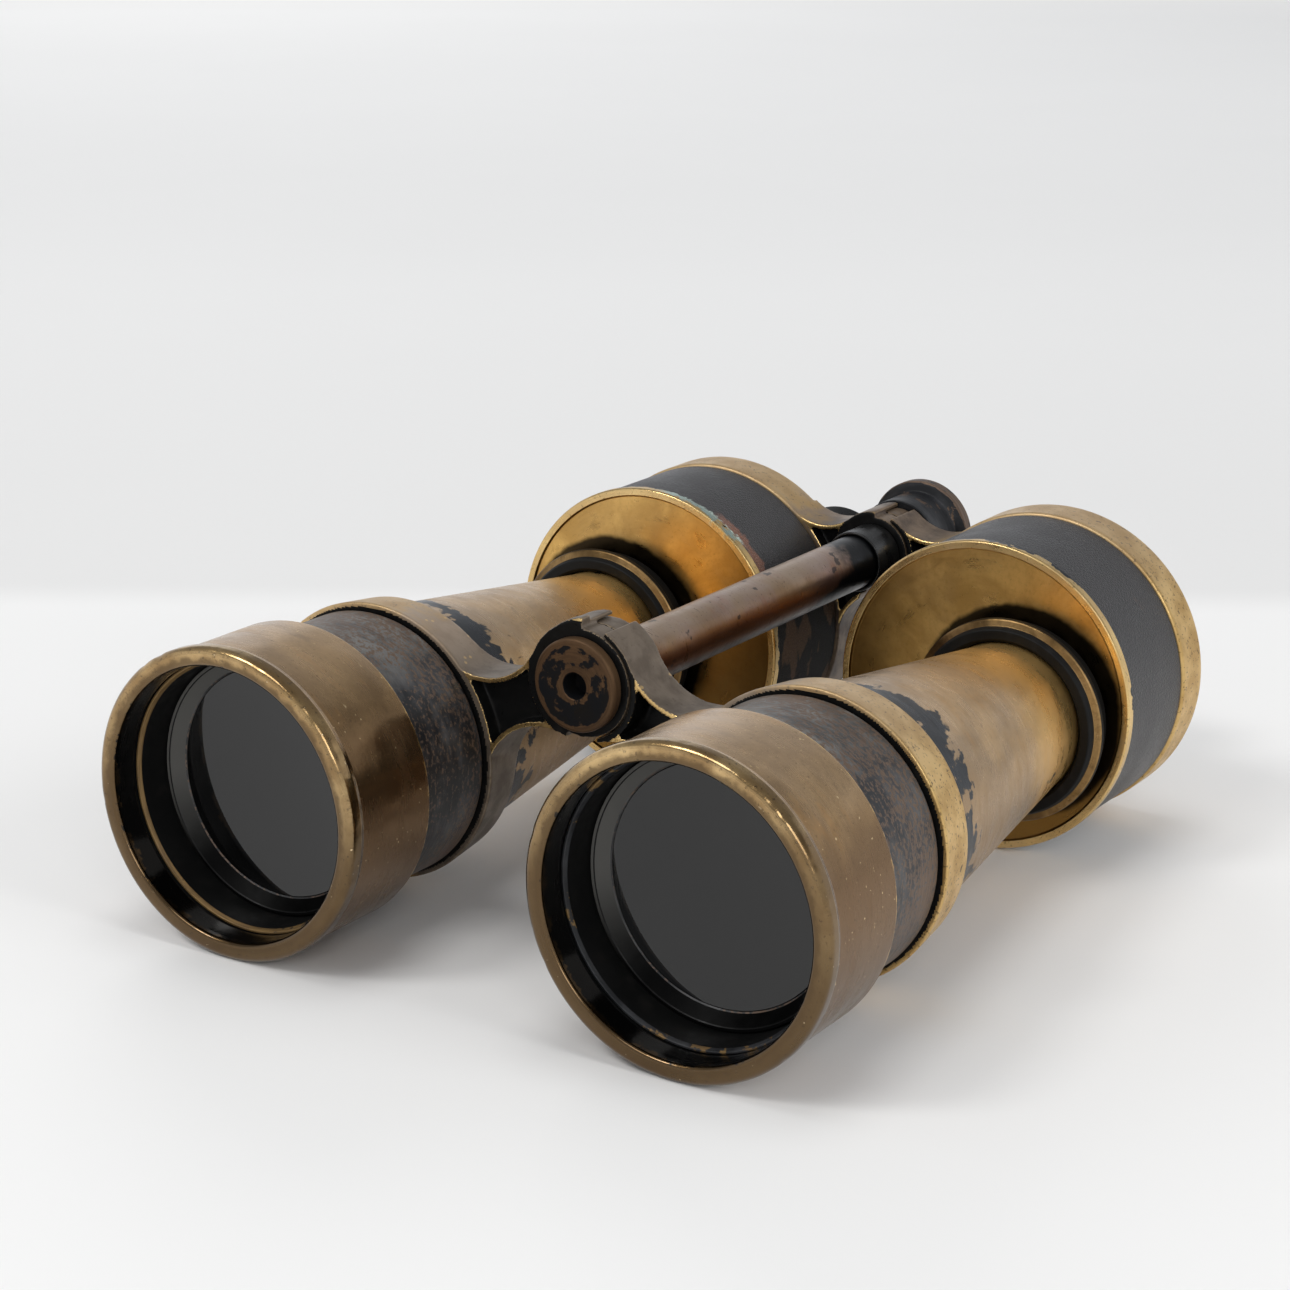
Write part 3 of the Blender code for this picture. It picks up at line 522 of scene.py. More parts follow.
# The hinge disc is rubbed bare round its hole and at its rim.
def discRub(spot):
    out = outFrom(spot)
    worn = plus(ramp(out, *wear["discRim"], 0, 0.34), ramp(out, *wear["discHole"], 0, 0.26))
    return minus(worn, ramp(out, *wear["discInHole"]))


# The hinge cap is rubbed at its rim.
def capRub(spot):
    return ramp(outFrom(spot), *wear["capRim"], 0, 0.24)


# The right barrel's front edge, seen inside the hood, is rubbed bare.
def mouthRub(spot):
    return ramp(sidewaysOf(), *wear["rightSide"], -0.02, 0.25)


# A bridge: pitted gold on the outer side of its band, turning grey-brown towards its arm, with rubbed edges.
# It turns grey between two distances sideways from the band's axis.
def bridgeMetal(name, axis, greyFrom, greyTo, grey, darkGrey):
    finish = newFinish(name)
    spot, up = roundPlace(axis)
    clouds = grain(spot, 140, detail=5, rough=0.6)
    pits = grain(spot, 1300, detail=2, rough=0.6)
    gold = over(tones["gold"], "bandGold", clouds, 0.36, 0.66)
    gold = over(gold, "dark", pits, 0.58, 0.70, 0.7)
    gold = over(gold, "dark", grain(spot, 330, detail=2), 0.70, 0.74, 0.9)
    arm = over(tones[grey], darkGrey, clouds, 0.38, 0.66)
    arm = over(arm, "dark", grain(spot, 900, detail=3), 0.58, 0.75, 0.5)
    away = calc("DIVIDE", fromMiddle(), mm)
    outward = plus(minus(away, axes[axis][0]), ramp(clouds, 0.3, 0.7, -5.0, 5.0))
    toGrey = ramp(outward, greyFrom, greyTo)
    colour = blendColour(toGrey, gold, arm)
    # Pale dust on the top, partly a painted sheen.
    dusty = ramp(up, 0.5, 1.0, 0, 0.4)
    colour = tinted(colour, "dust", dusty)
    colour = tinted(colour, "gold", times(edgeWear(), 0.5))
    metal = calc("MULTIPLY_ADD", toGrey, -0.4, calc("MULTIPLY_ADD", dusty, -0.4, 0.9))
    closeFinish(colour, metal, ramp(clouds, 0.3, 0.7, 0.36, 0.48), bumpUp(pits, 0.05, 0.6))
    return finish


# Black paint. The cone inside the retaining ring has painted light in its upper half and painted shade in its
# lower half.
def blackPaint(name, roughness=0.4, gloss=0.5, worn=False, bump=0.03, cone=False):
    finish = newFinish(name)
    spot = place()
    dust = grain(spot, 300, detail=4)
    colour = over(tones["paint"], "dustyPaint", dust, 0.5, 0.8, 0.3)
    if worn:
        bare = times(edgeWear(0.54, 0.62), ramp(grain(spot, 260, detail=4), 0.4, 0.6))
        colour = tinted(colour, "brown", bare)
    if cone:
        # Painted light on the cone's upper half, fading to painted shade below.
        colour = over(tones["coneShade"], "coneLit", roundPlace("objective")[1], -0.75, 0.0)
    rough = ramp(dust, 0.3, 0.8, roughness - 0.1, roughness + 0.1)
    normal = bumpUp(grain(spot, 900), bump, 0.4) if bump else None
    closeFinish(colour, 0.0, rough, normal, **{"Specular IOR Level": gloss})
    return finish


# The leather has fine pebbles. Between the drums it has painted shade, and brown rubbed patches that are
# partly a painted highlight.
def grainedLeather(name):
    finish = newFinish(name)
    spot = roundPlace("drum")[0]
    cells = addNode("TexVoronoi", {"Vector": stretched(spot, (1350.0,) * 3), "Scale": 1.0},
                    feature="DISTANCE_TO_EDGE").outputs["Distance"]
    clouds = grain(spot, 90, detail=4)
    scuffs = grain(spot, 260, (0.5, 1, 1), detail=5, rough=0.65)
    colour = over(tones["leather"], "paleLeather", clouds, 0.3, 0.75)
    colour = over(colour, "scuff", scuffs, 0.68, 0.80, 0.4)
    between = times(ramp(fromMiddle(), *wear["leatherSide"]), ramp(split(place())[2], *wear["leatherHeight"]))
    # Painted shade between the drums, on the side towards the hinge.
    colour = tinted(colour, "stainAndShade", between)
    # Brown rubbed patches in that shade, partly standing in for a painted highlight.
    rubbed = times(between, ramp(grain(spot, 60, (1, 2, 1), detail=4), 0.54, 0.60))
    colour = tinted(colour, "discBrown", rubbed)
    colour = edgeBloom(spot, colour)
    colour = tinted(colour, "crease", ramp(cells, 0.0, 0.25, 0.4, 0))
    rough = blendValue(between, ramp(clouds, 0.3, 0.7, 0.34, 0.44), 0.85)
    normal = bumpUp(ramp(cells, 0.0, 0.3), 0.10, 0.8)
    normal = bumpUp(clouds, 0.25, 0.4, normal)
    closeFinish(colour, 0.0, rough, normal)
    return finish


def clearGlass(name):
    finish = newFinish(name)
    colour = over(tones["glass"], "paleGlass", grain(place(), 60, detail=3), 0.4, 0.7)
    closeFinish(colour, 0.0, 0.0, None, **{"IOR": 1.57, "Transmission Weight": 1.0})
    return finish


# What a look of brass leaves out has the usual value.
usual = {"haze": 0.1, "warmth": 0.2, "pits": 0.3, "specks": 0.1, "metal": 1.0, "lines": 0.1, "pitScale": 1500,
         "pitDepth": 0.02, "dustTone": "dust", "fixed": {}}
# A look's dust is pale dust on its top, partly a painted sheen.
brassLooks = {
    "hood": {"axis": "objective", "base": "brown", "shade": "dullBrown", "warm": "orange", "haze": 0.15,
             "warmth": 0.55, "pits": 0.45, "specks": 0.8, "rough": 0.24, "metal": 0.92,
             "under": ("under", 0.2, 1.0), "dust": 0.45, "layer": hoodLayers},
    "rim": {"axis": "objective", "base": "rimGold", "shade": "rimBrown", "warm": "gold", "haze": 0.05,
            "warmth": 0.4, "pits": 0.75, "specks": 0.9, "rough": 0.21, "pitScale": 1100, "pitDepth": 0.05,
            "under": ("umber", -0.35, 0.9), "layer": rimLayers,
            "fixed": {"Coat Weight": 0.45, "Coat Roughness": 0.12}},
    "tube": {"axis": "objective", "base": "brown", "shade": "dullBrown", "warm": "orange", "haze": 0.4,
             "warmth": 0.25, "specks": 0.3, "rough": 0.30, "metal": 0.92, "under": ("dullBrown", -0.3, 0.95),
             "dust": 0.25, "layer": tubeLayers},
    "bead": {"axis": "objective", "base": "rimBrown", "shade": "umber", "warm": "deepGold", "warmth": 0.4,
             "specks": 0.2, "rough": 0.32, "metal": 0.95},
    "edge": {"axis": "drum", "base": "brightGold", "shade": "gold", "warm": "paleGold", "warmth": 0.4,
             "pits": 0.6, "specks": 0.2, "rough": 0.28, "pitScale": 1300, "pitDepth": 0.05, "dust": 0.1,
             "layer": edgeBloom},
    "plate": {"axis": "drum", "base": "plate", "shade": "plateShade", "warm": "gold", "pits": 0.15,
              "rough": 0.33, "lines": 0.05, "under": ("plateUnder", -0.6, 0.5), "layer": plateLayers},
    "rearCap": {"axis": "drum", "base": "plate", "shade": "plateShade", "warm": "gold", "haze": 0.3,
                "rough": 0.36, "metal": 0.95, "layer": capLayers},
    "hinge": {"axis": "hinge", "base": "bronze", "shade": "dullBrown", "warm": "rust", "haze": 0.25,
              "warmth": 0.5, "pits": 0.4, "specks": 0.0, "rough": 0.34, "metal": 0.9,
              "under": ("underBronze", 0.0, 1.0), "dust": 0.45, "dustTone": "greyDustAndSheen", "layer": hingeLayers},
    "plain": {"axis": "eyepiece", "base": "gold", "shade": "deepGold", "warm": "paleGold", "pits": 0.2,
              "specks": 0.0, "rough": 0.34}}
finishes = {label: agedMetal(label + "Brass", {**usual, **look}) for label, look in brassLooks.items()}
finishes.update({
    "barrel": wornLacquer("barrelLacquer", "objective", 0.66, scale=1100.0, coating="film", rubbed=barrelRub,
                          soft=0.05, topDustAndSheen=0.55, uneven=0.4),
    "mouth": wornLacquer("mouthLacquer", "objective", 0.0, "mouthGold", rubbed=mouthRub),
    "frontBridge": bridgeMetal("frontBridgeBrass", "objective", -1, -13, "frontGrey", "frontDark"),
    "rearBridge": bridgeMetal("rearBridgeBrass", "drum", -18, -30, "rearGrey", "rearDark"),
    "cap": wornLacquer("capLacquer", "hinge", -0.8, gloss=0.2, rubbed=capRub),
    "ring": wornLacquer("ringLacquer", "eyepiece", 0.2),
    "disc": wornLacquer("discLacquer", "hinge", -0.35, "discBrown", 380.0, 0.05, "stainAndShade", discRub, 0.04),
    "inner": blackPaint("innerBlack", 0.5, 0.15, bump=0.0),
    "cone": blackPaint("coneBlack", 0.4, 0.05, bump=0.0, cone=True),
    "satin": blackPaint("satinBlack", 0.34),
    "web": blackPaint("webBlack", 0.36, 0.1, True),
    "leather": grainedLeather("drumLeather"),
    "glass": clearGlass("opticalGlass")})
print("finishes made:", len(finishes))


# A plain round bar for cutting or adding. Its rounding is at the back.
def roundBar(name, radius, front, back, axis, side, turns=160, rounding=0.0):
    corners = [(radius, front), (radius, back, rounding), (0, back), (0, front)]
    return turnPiece(name, corners, axis, side, turns, 50)


# A turned piece that needs nothing more is finished at once.
def turnFinished(name, corners, axis, side, turns, step, looks, body, slot):
    finishPiece(turnPiece(name, corners, axis, side, turns, step), looks, body, slot, name)


# The outline of a plain sleeve. Its roundings are in turn those of the outer front edge, the outer back, the
# inner back and the inner front.
def sleeve(outer, inner, front, back, roundings, boreZone=0):
    spots = ((outer, front), (outer, back), (inner, back), (inner, front))
    zones = (0, 0, boreZone, boreZone)
    return [(*spot, rounding, zone) for spot, rounding, zone in zip(spots, roundings, zones)]


# How far a lens face of this curve falls back at a radius.
def fallOf(curve, radius):
    return curve - math.sqrt(curve ** 2 - radius ** 2)


# Dents are (how many, how far below the rim or wall, stations, reaches, depths).
hood = {"barrelRadius": 30.0, "wall": 3.0, "length": 25.7, "swell": 0.7, "lip": 0.45, "mouthDepth": 4.9,
        "roll": 1.6, "rimDents": (26, 0.6, (-1.4, 1.5), (0.8, 2.2), (0.05, 0.16)),
        "wallDents": (14, 0.0, (4, 25), (2.0, 6.0), (0.04, 0.12))}


def makeHood(prefix, side, body):
    name = prefix + "objective_hood"
    bore = hood["barrelRadius"] + slack
    outside, rim, mouth = bore + hood["wall"], bore + hood["wall"] + hood["swell"], bore - hood["lip"]
    roll, length, mouthDepth = hood["roll"], hood["length"], hood["mouthDepth"]
    corners = [(mouth + 0.1, -roll * 0.98, 1.95, 1), (rim, -roll, 1.98, 1), (rim, roll * 1.1, 1.2, 1),
               (outside, roll * 2, 0.9), (outside, length, 0.5), (bore, length, 0.2, 2),
               (bore, mouthDepth, 0.2, 2), (mouth, mouthDepth, 0.5, 1), (mouth, 0.4, 0.6, 1)]
    piece = turnPiece(name, corners, "objective", side, 320, 1.2)
    centreX, centreZ = side * axes["objective"][0], axes["objective"][1]
    dents = []
    for radius, group in ((rim, "rimDents"), (outside, "wallDents")):
        count, below, stations, reaches, depths = hood[group]
        for _ in range(count):
            angle, out = random.uniform(0, 2 * math.pi), radius - below
            spot = (centreX + out * math.cos(angle), -middleStation + random.uniform(*stations),
                    centreZ + out * math.sin(angle))
            dents.append((spot, random.uniform(*reaches), random.uniform(*depths)))
    dentPiece(piece, dents)
    finishPiece(piece, ("hood", "rim", "inner"), body, "aged_brass", name)


# The step is where the black wall ends in front of the bridge's band.
barrel = {"wall": 1.1, "front": 5.6, "back": 49.4, "step": 0.35, "stepLength": 0.7}
fittedRadius = hood["barrelRadius"] - barrel["wall"] - slack


def makeBarrel(prefix, side, body):
    radius = hood["barrelRadius"]
    bore, stepped = radius - barrel["wall"], radius - barrel["step"]
    front, back = barrel["front"], barrel["back"]
    stepStart = back - barrel["stepLength"]
    corners = [(radius, front, 0.3), (radius, stepStart - 0.2, 0.2), (stepped, stepStart, 0.1),
               (stepped, back, 0.2, 1), (bore, back, 0.1, 1), (bore, front + 0.8, 0.5, 3),
               (bore + 0.5, front, 0.2, 3)]
    turnFinished(prefix + "objective_barrel", corners, "objective", side, 192, 2.0,
                 ("barrel", "inner", "satin", "mouth"), body, "black_lacquer")


# The glass shows a slightly hollow face, set just behind the ring's edge.
lens = {"ringFront": 13.9, "ringLength": 3.6, "edge": 7.6, "curve": 150.0, "clear": 25.3, "faceInset": 0.9,
        "seatWidth": 3.3, "seatLength": 4.0}


def makeLens(prefix, side, body):
    front, clear = lens["ringFront"], lens["clear"]
    back = front + lens["ringLength"]
    ring = [(fittedRadius, front, 0.15), (fittedRadius, back, 0.1), (clear, back, 0.1),
            (clear, back - 0.8, 0.1, 2), (clear + 0.3, back - 1.0, 0.1),
            (fittedRadius - 0.9, front + 0.2, 0.15, 1), (fittedRadius - 0.7, front, 0.1)]
    turnFinished(prefix + "lens_ring", ring, "objective", side, 160, 2.0, ("cone", "web", "barrel"), body,
                 "aged_brass")

    lensFront = back + slack
    lensBack = lensFront + lens["edge"]
    seatFront = lensBack + slack
    seatBack, seatBore = seatFront + lens["seatLength"], fittedRadius - lens["seatWidth"]
    seat = sleeve(fittedRadius, seatBore, seatFront, seatBack, (0.1, 0.1, 0.2, 0.4))
    turnFinished(prefix + "lens_seat", seat, "objective", side, 160, 2.0, ("inner",), body, "black_lacquer")

    curve, rimStation, face, rings = lens["curve"], back - lens["faceInset"], clear - 0.1, 24
    glass = [(face * k / rings, rimStation + fallOf(curve, face) - fallOf(curve, face * k / rings))
             for k in range(rings)]
    glass += [(face, rimStation, 0.1, 1), (face, lensFront, 0, 1), (fittedRadius, lensFront, 0.2, 1),
              (fittedRadius, lensBack, 0.25), (0, lensBack)]
    turnFinished(prefix + "objective_lens", glass, "objective", side, 160, 4.0, ("glass", "inner"), body,
                 "glass")


# The tube is straight in the barrel's socket, then tapers to its end, which sits in the drum's plate.
tube = {"step": 0.8, "endRadius": 18.4, "front": 39.4, "shoulder": 61.9, "end": 137.9, "wall": 1.2,
        "back": 146.8}


def makeTube(prefix, side, body):
    front, shoulder, end, back = tube["front"], tube["shoulder"], tube["end"], tube["back"]
    socketBore, startRadius = fittedRadius - tube["wall"], fittedRadius - tube["step"]
    endRadius, endBore = tube["endRadius"], tube["endRadius"] - tube["wall"]
    corners = [(fittedRadius, front, 0.2), (fittedRadius, shoulder, 0.1),
               (startRadius, shoulder + slack, 0.2), (endRadius, end, 1.0), (endRadius, back, 0.2, 1),
               (endBore, back, 0.2, 1), (endBore, end, 0.2, 1), (socketBore, shoulder, 0.2, 1),
               (socketBore, front, 0.2, 1)]
    turnFinished(prefix + "objective_tube", corners, "objective", side, 192, 2.5, ("tube", "inner"), body,
                 "aged_brass")


# Only the front face of the collar's bead is bare brass.
collar = {"front": 138.2, "length": 8.3, "wall": 3.4, "beadRadius": 23.8, "beadWidth": 1.8,
          "spigotBack": 150.0, "spigotWall": 1.6}


def makeCollar(prefix, side, body):
    bore = tube["endRadius"] + slack
    outer, spigot, bead = bore + collar["wall"], bore + collar["spigotWall"], collar["beadRadius"]
    front, width, back = collar["front"], collar["beadWidth"], collar["spigotBack"]
    end = front + collar["length"]
    corners = [(bore, front + 0.9, 0.1), (bore + 0.8, front, 0.3), (outer - 0.5, front, 0.5),
               (outer, front + 1.0, 0.3), (outer, front + width - 0.3, 0.2, 1),
               (bead, front + width + 0.2, 0.7), (bead, front + width * 2 - 0.1, 0.7),
               (outer, front + width * 2.2, 0.2), (outer, end, 0.2), (spigot, end, 0.1),
               (spigot, back, 0.1), (bore, back, 0.1)]
    turnFinished(prefix + "tube_collar", corners, "objective", side, 192, 2.0, ("inner", "bead"), body,
                 "black_lacquer")


drum = {"radius": 36.5, "plateFront": 146.8, "plateBack": 149.2, "rimWidth": 1.9, "recess": 0.6,
        "opening": 20.6, "inset": 0.5, "leather": 1.0, "leatherBack": 177.8, "housing": (149.5, 187.7),
        "housingWall": 1.5, "capFront": 188.0, "capBack": 191.2, "bossBack": 192.8, "bossBore": 12.3,
        "bossWall": 3.0, "groove": 4.0, "grooveWidth": 1.3, "grooveDepth": 0.4}
leatherRadius = drum["radius"] - drum["inset"]
shellRadius = leatherRadius - drum["leather"] - slack


def makeDrum(prefix, side, body):
    radius, front, back = drum["radius"], drum["plateFront"], drum["plateBack"]
    rim, floorStation = radius - drum["rimWidth"], front + drum["recess"]
    plate = [(0, floorStation), (rim - 0.2, floorStation, 0.3), (rim + 0.1, front, 0.25, 1),
             (radius - 0.3, front, 0.35, 1), (radius, front + 0.4, 0.3, 1), (radius, back, 0.2, 1),
             (0, back)]
    piece = turnPiece(prefix + "prism_plate", plate, "drum", side, 240, 3.0)
    joinShape(piece, roundBar("hole", drum["opening"], front - 1, back + 1, "objective", side), "DIFFERENCE")
    finishPiece(piece, ("plate", "edge"), body, "brass", prefix + "prism_plate")

    start, end = drum["housing"]
    under, leatherBack = leatherRadius - drum["leather"], drum["leatherBack"]
    skin = sleeve(leatherRadius, under, start, leatherBack, (0.4, 0.4, 0, 0))
    turnFinished(prefix + "leather_cover", skin, "drum", side, 240, 2.0, ("leather",), body, "leather")

    shellBore = shellRadius - drum["housingWall"]
    case = sleeve(shellRadius, shellBore, start, end, (0.1, 0.1, 0.1, 0.1))
    turnFinished(prefix + "prism_housing", case, "drum", side, 160, 4.0, ("inner",), body, "black_lacquer")

    front, back, bossBack = drum["capFront"], drum["capBack"], drum["bossBack"]
    grooveOuter, grooveFloor = shellRadius - drum["groove"], back - drum["grooveDepth"]
    grooveInner = grooveOuter - drum["grooveWidth"]
    cap = [(0, front), (shellRadius, front, 0.2), (shellRadius, back, 1.1),
           (grooveOuter, back, 0.3), (grooveOuter - 0.3, grooveFloor, 0.3),
           (grooveInner + 0.3, grooveFloor, 0.3), (grooveInner, back, 0.3), (0, back)]
    piece = turnPiece(prefix + "rear_cap", cap, "drum", side, 240, 3.0)
    boss = drum["bossBore"] + drum["bossWall"]
    joinShape(piece, roundBar("boss", boss, front + 1, bossBack, "eyepiece", side, 128, 0.5), "UNION")
    joinShape(piece, roundBar("hole", drum["bossBore"], front - 1, bossBack + 1, "eyepiece", side, 128),
              "DIFFERENCE")
    finishPiece(piece, ("rearCap",), body, "brass", prefix + "rear_cap")


# Each half of a bridge is a band, an arm of two flanges with a web between, and half a knuckle.
flange = {"thickness": 1.2, "webThickness": 2.6, "webInset": 3.4, "ledge": 0.5, "cover": 1.0,
          "stopDepth": 3.3, "tabHeight": 1.1, "tabWidth": 3.5, "tabArc": 30.0, "openTravel": 26.0,
          "closeTravel": 34.0, "bore": 6.8, "voxel": 0.32}
frontBand = {"wall": 2.65, "taper": 1.3}
frontForm = {"axis": "objective", "radius": fittedRadius + slack + frontBand["wall"] - frontBand["taper"],
             "taper": frontBand["taper"], "rounding": 0.6, "bore": fittedRadius + slack, "knuckle": 11.8,
             "fillet": 15.7, "front": 50.0, "back": 61.9, "finish": "frontBridge"}
rearForm = {"axis": "drum", "radius": drum["radius"], "taper": 0.0, "rounding": 1.4,
            "bore": shellRadius + slack, "knuckle": 9.0, "fillet": 13.0, "front": 178.1, "back": 190.3,
            "finish": "rearBridge"}
pin = Vector(axes["hinge"])


def meetCircles(centre, radius, other, otherRadius, toward):
    line = other - centre
    along = (line.length_squared + radius ** 2 - otherRadius ** 2) / (2 * line.length)
    unit = line.normalized()
    normal = Vector((-unit.y, unit.x))
    if normal.dot(toward - centre) < 0:
        normal.negate()
    return centre + unit * along + normal * math.sqrt(radius ** 2 - along ** 2)


def arcPoints(centre, radius, start, end, step=math.radians(3)):
    count = max(2, math.ceil(abs(end - start) / step))
    angles = [start + (end - start) * i / count for i in range(count + 1)]
    return [(centre.x + radius * math.cos(angle), centre.y + radius * math.sin(angle)) for angle in angles]


def heading(start, end):
    return math.atan2(end.y - start.y, end.x - start.x)


# The arm's outline with its knuckle, and the pocket between its flanges. Both are for the side at +x.
def armShape(form):
    band, fillet, whole = Vector(axes[form["axis"]]), form["fillet"], 2 * math.pi
    cover = form["knuckle"] + slack + flange["cover"]
    upper, lower = (meetCircles(band, form["radius"] - slack / 2 + fillet, pin, cover + fillet,
                                pin + Vector((0, lift))) for lift in (fillet, -pin.y))
    top, bottom = heading(pin, upper), heading(pin, lower) + whole
    outline = arcPoints(upper, fillet, heading(upper, band) + whole, top + math.pi)
    outline += arcPoints(pin, cover, top, bottom)[1:]
    outline += arcPoints(lower, fillet, bottom - math.pi, heading(lower, band))[1:]

    bandEdge = form["radius"] + form["taper"] + flange["ledge"]
    knuckleEdge = cover + flange["ledge"]
    inner = fillet + flange["thickness"]
    throat = pin + (band - pin).normalized() * knuckleEdge
    atBand = [meetCircles(centre, inner, band, bandEdge, throat) for centre in (upper, lower)]
    atPin = [meetCircles(centre, inner, pin, knuckleEdge, throat) for centre in (upper, lower)]

    def edge(centre, radius, first, last):
        return arcPoints(centre, radius, heading(centre, first) % whole, heading(centre, last) % whole)

    pocket = edge(upper, inner, atBand[0], atPin[0])
    pocket += arcPoints(pin, knuckleEdge, heading(pin, atPin[0]), heading(pin, atPin[1]))[1:]
    pocket += edge(lower, inner, atPin[1], atBand[1])[1:]
    pocket += edge(band, bandEdge, atBand[1], atBand[0])[1:-1]
    return outline, pocket, cover


# The ramp on the front knuckle that the other half's flange runs up to.
def rampOutline(cover, count=12):
    start, end = math.pi / 2 - math.radians(flange["tabArc"]), math.pi / 2 + math.radians(3)
    inside = cover - 0.6
    outline = [(pin.x + inside * math.cos(angle), pin.y + inside * math.sin(angle)) for angle in (end, start)]
    for k in range(count + 1):
        angle = start + (end - start) * k / count
        radius = cover + flange["tabHeight"] * k / count
        outline.append((pin.x + radius * math.cos(angle), pin.y + radius * math.sin(angle)))
    return outline


def makeBridge(prefix, side, form, label, body):
    name = prefix + label
    front, back, radius, soft = form["front"], form["back"], form["radius"], form["rounding"]
    middle, frontRadius = (front + back) / 2, radius + form["taper"]
    knuckleFirst = side < 0             # the right half's knuckle is the front one
    outline, pocket, cover = armShape(form)
    piece = slabPiece(name, outline, front + 0.02, back - 0.02, side)
    if label == "front_bridge" and knuckleFirst:
        tab = slabPiece("tab", rampOutline(cover), front + 0.04, front + flange["tabWidth"], side)
        joinShape(piece, tab, "UNION")
    webFront = front + flange["webInset"]
    if not knuckleFirst:
        webFront = back - flange["webInset"] - flange["webThickness"]
    for start, end in ((front - 1, webFront), (webFront + flange["webThickness"], back + 1)):
        joinShape(piece, slabPiece("pocket", pocket, start, end, side), "DIFFERENCE")
    start, end = (middle - slack / 2, back + 1) if knuckleFirst else (front - 1, middle + slack / 2)
    joinShape(piece, roundBar("room", form["knuckle"] + slack, start, end, "hinge", side, 120), "DIFFERENCE")
    top = math.pi / 2 if knuckleFirst else math.pi / 2 - math.radians(flange["openTravel"])
    bottom = 3 * math.pi / 2 + math.radians(flange["closeTravel"] / 2)
    beyond = arcPoints(pin, cover + flange["stopDepth"], top, bottom)
    beyond += arcPoints(pin, form["knuckle"], bottom, top)
    joinShape(piece, slabPiece("beyond", beyond, front - 1, back + 1, side), "DIFFERENCE")
    for bore, axis in ((flange["bore"], "hinge"), (form["bore"] + 0.7, form["axis"])):
        joinShape(piece, roundBar("drill", bore, front - 2, back + 2, axis, side, 180), "DIFFERENCE")
    band = [(frontRadius - soft / 3, front), (frontRadius, front + soft / 3),
            (radius, back - soft, soft * 1.5), (radius - soft, back), (form["bore"], back),
            (form["bore"], front)]
    joinShape(piece, turnPiece("band", band, form["axis"], side, 240, 50), "UNION")
    remesh = piece.modifiers.new("remesh", "REMESH")
    remesh.mode, remesh.voxel_size, remesh.use_smooth_shade = "VOXEL", flange["voxel"] * mm, True
    smooth = piece.modifiers.new("smooth", "SMOOTH")
    smooth.factor, smooth.iterations = 0.5, 3
    applyAll(piece)
    sortFaces(piece, form, side, pocket, cover)
    finishPiece(piece, (form["finish"], "web", "edge"), body, "aged_brass", name)


# Which of the points lie inside a closed outline.
def insideOutline(outline, x, z):
    inside = np.zeros(len(x), dtype=bool)
    for (x1, z1), (x2, z2) in zip(outline, outline[1:] + outline[:1]):
        if z1 != z2:
            inside ^= ((z1 > z) != (z2 > z)) & (x < (x2 - x1) * (z - z1) / (z2 - z1) + x1)
    return inside


# The band and ribbons keep the first finish. The web, pockets, knuckle and the band's front face have the
# second, and the flanges' thin front and rear edges the third.
def sortFaces(piece, form, side, pocket, cover):
    mesh = piece.data
    count = len(mesh.polygons)
    centres, normals = np.zeros(count * 3), np.zeros(count * 3)
    mesh.polygons.foreach_get("center", centres)
    mesh.polygons.foreach_get("normal", normals)
    centres, normals = centres.reshape(-1, 3) / mm, normals.reshape(-1, 3)
    x, z = centres[:, 0] * side, centres[:, 2]
    station = centres[:, 1] + middleStation
    fromBand = np.hypot(x - axes[form["axis"]][0], z - axes[form["axis"]][1])
    fromHinge = np.hypot(x - axes["hinge"][0], z - axes["hinge"][1])
    flat = np.abs(normals[:, 1]) > 0.6
    arm = fromBand > form["radius"] + form["taper"] + 0.15
    inPocket = insideOutline(pocket, x + normals[:, 0] * side * 0.5, z + normals[:, 2] * 0.5)
    atEnd = (station < form["front"] + 0.45) | (station > form["back"] - 0.45)
    zones = np.zeros(count, dtype=int)
    zones[arm & inPocket] = 1
    zones[arm & flat] = 1
    zones[arm & flat & atEnd & (fromHinge > cover + 0.35)] = 2
    zones[(fromHinge < flange["bore"] + 0.4) & ~flat] = 1
    zones[~arm & (normals[:, 1] < -0.6) & (fromBand < form["radius"] + form["taper"] - 1.0)] = 1
    mesh.polygons.foreach_set("material_index", zones)


eyepiece = {"bore": 11.0, "wall": 1.6, "front": 188.0, "flange": (193.1, 195.3), "flangeRadius": 14.6,
            "back": 207.3, "ring": (195.6, 205.8), "ringWall": 2.5, "step": 1.2, "draw": (192.0, 215.0),
            "drawWall": 1.1, "cup": (211.6, 222.6), "cupRadius": 15.2, "cupWall": 1.5, "cupFloor": 1.3,
            "opening": 7.4, "fieldLens": (192.3, 3.8), "eyeLens": (210.4, 4.6), "curve": 24.0}


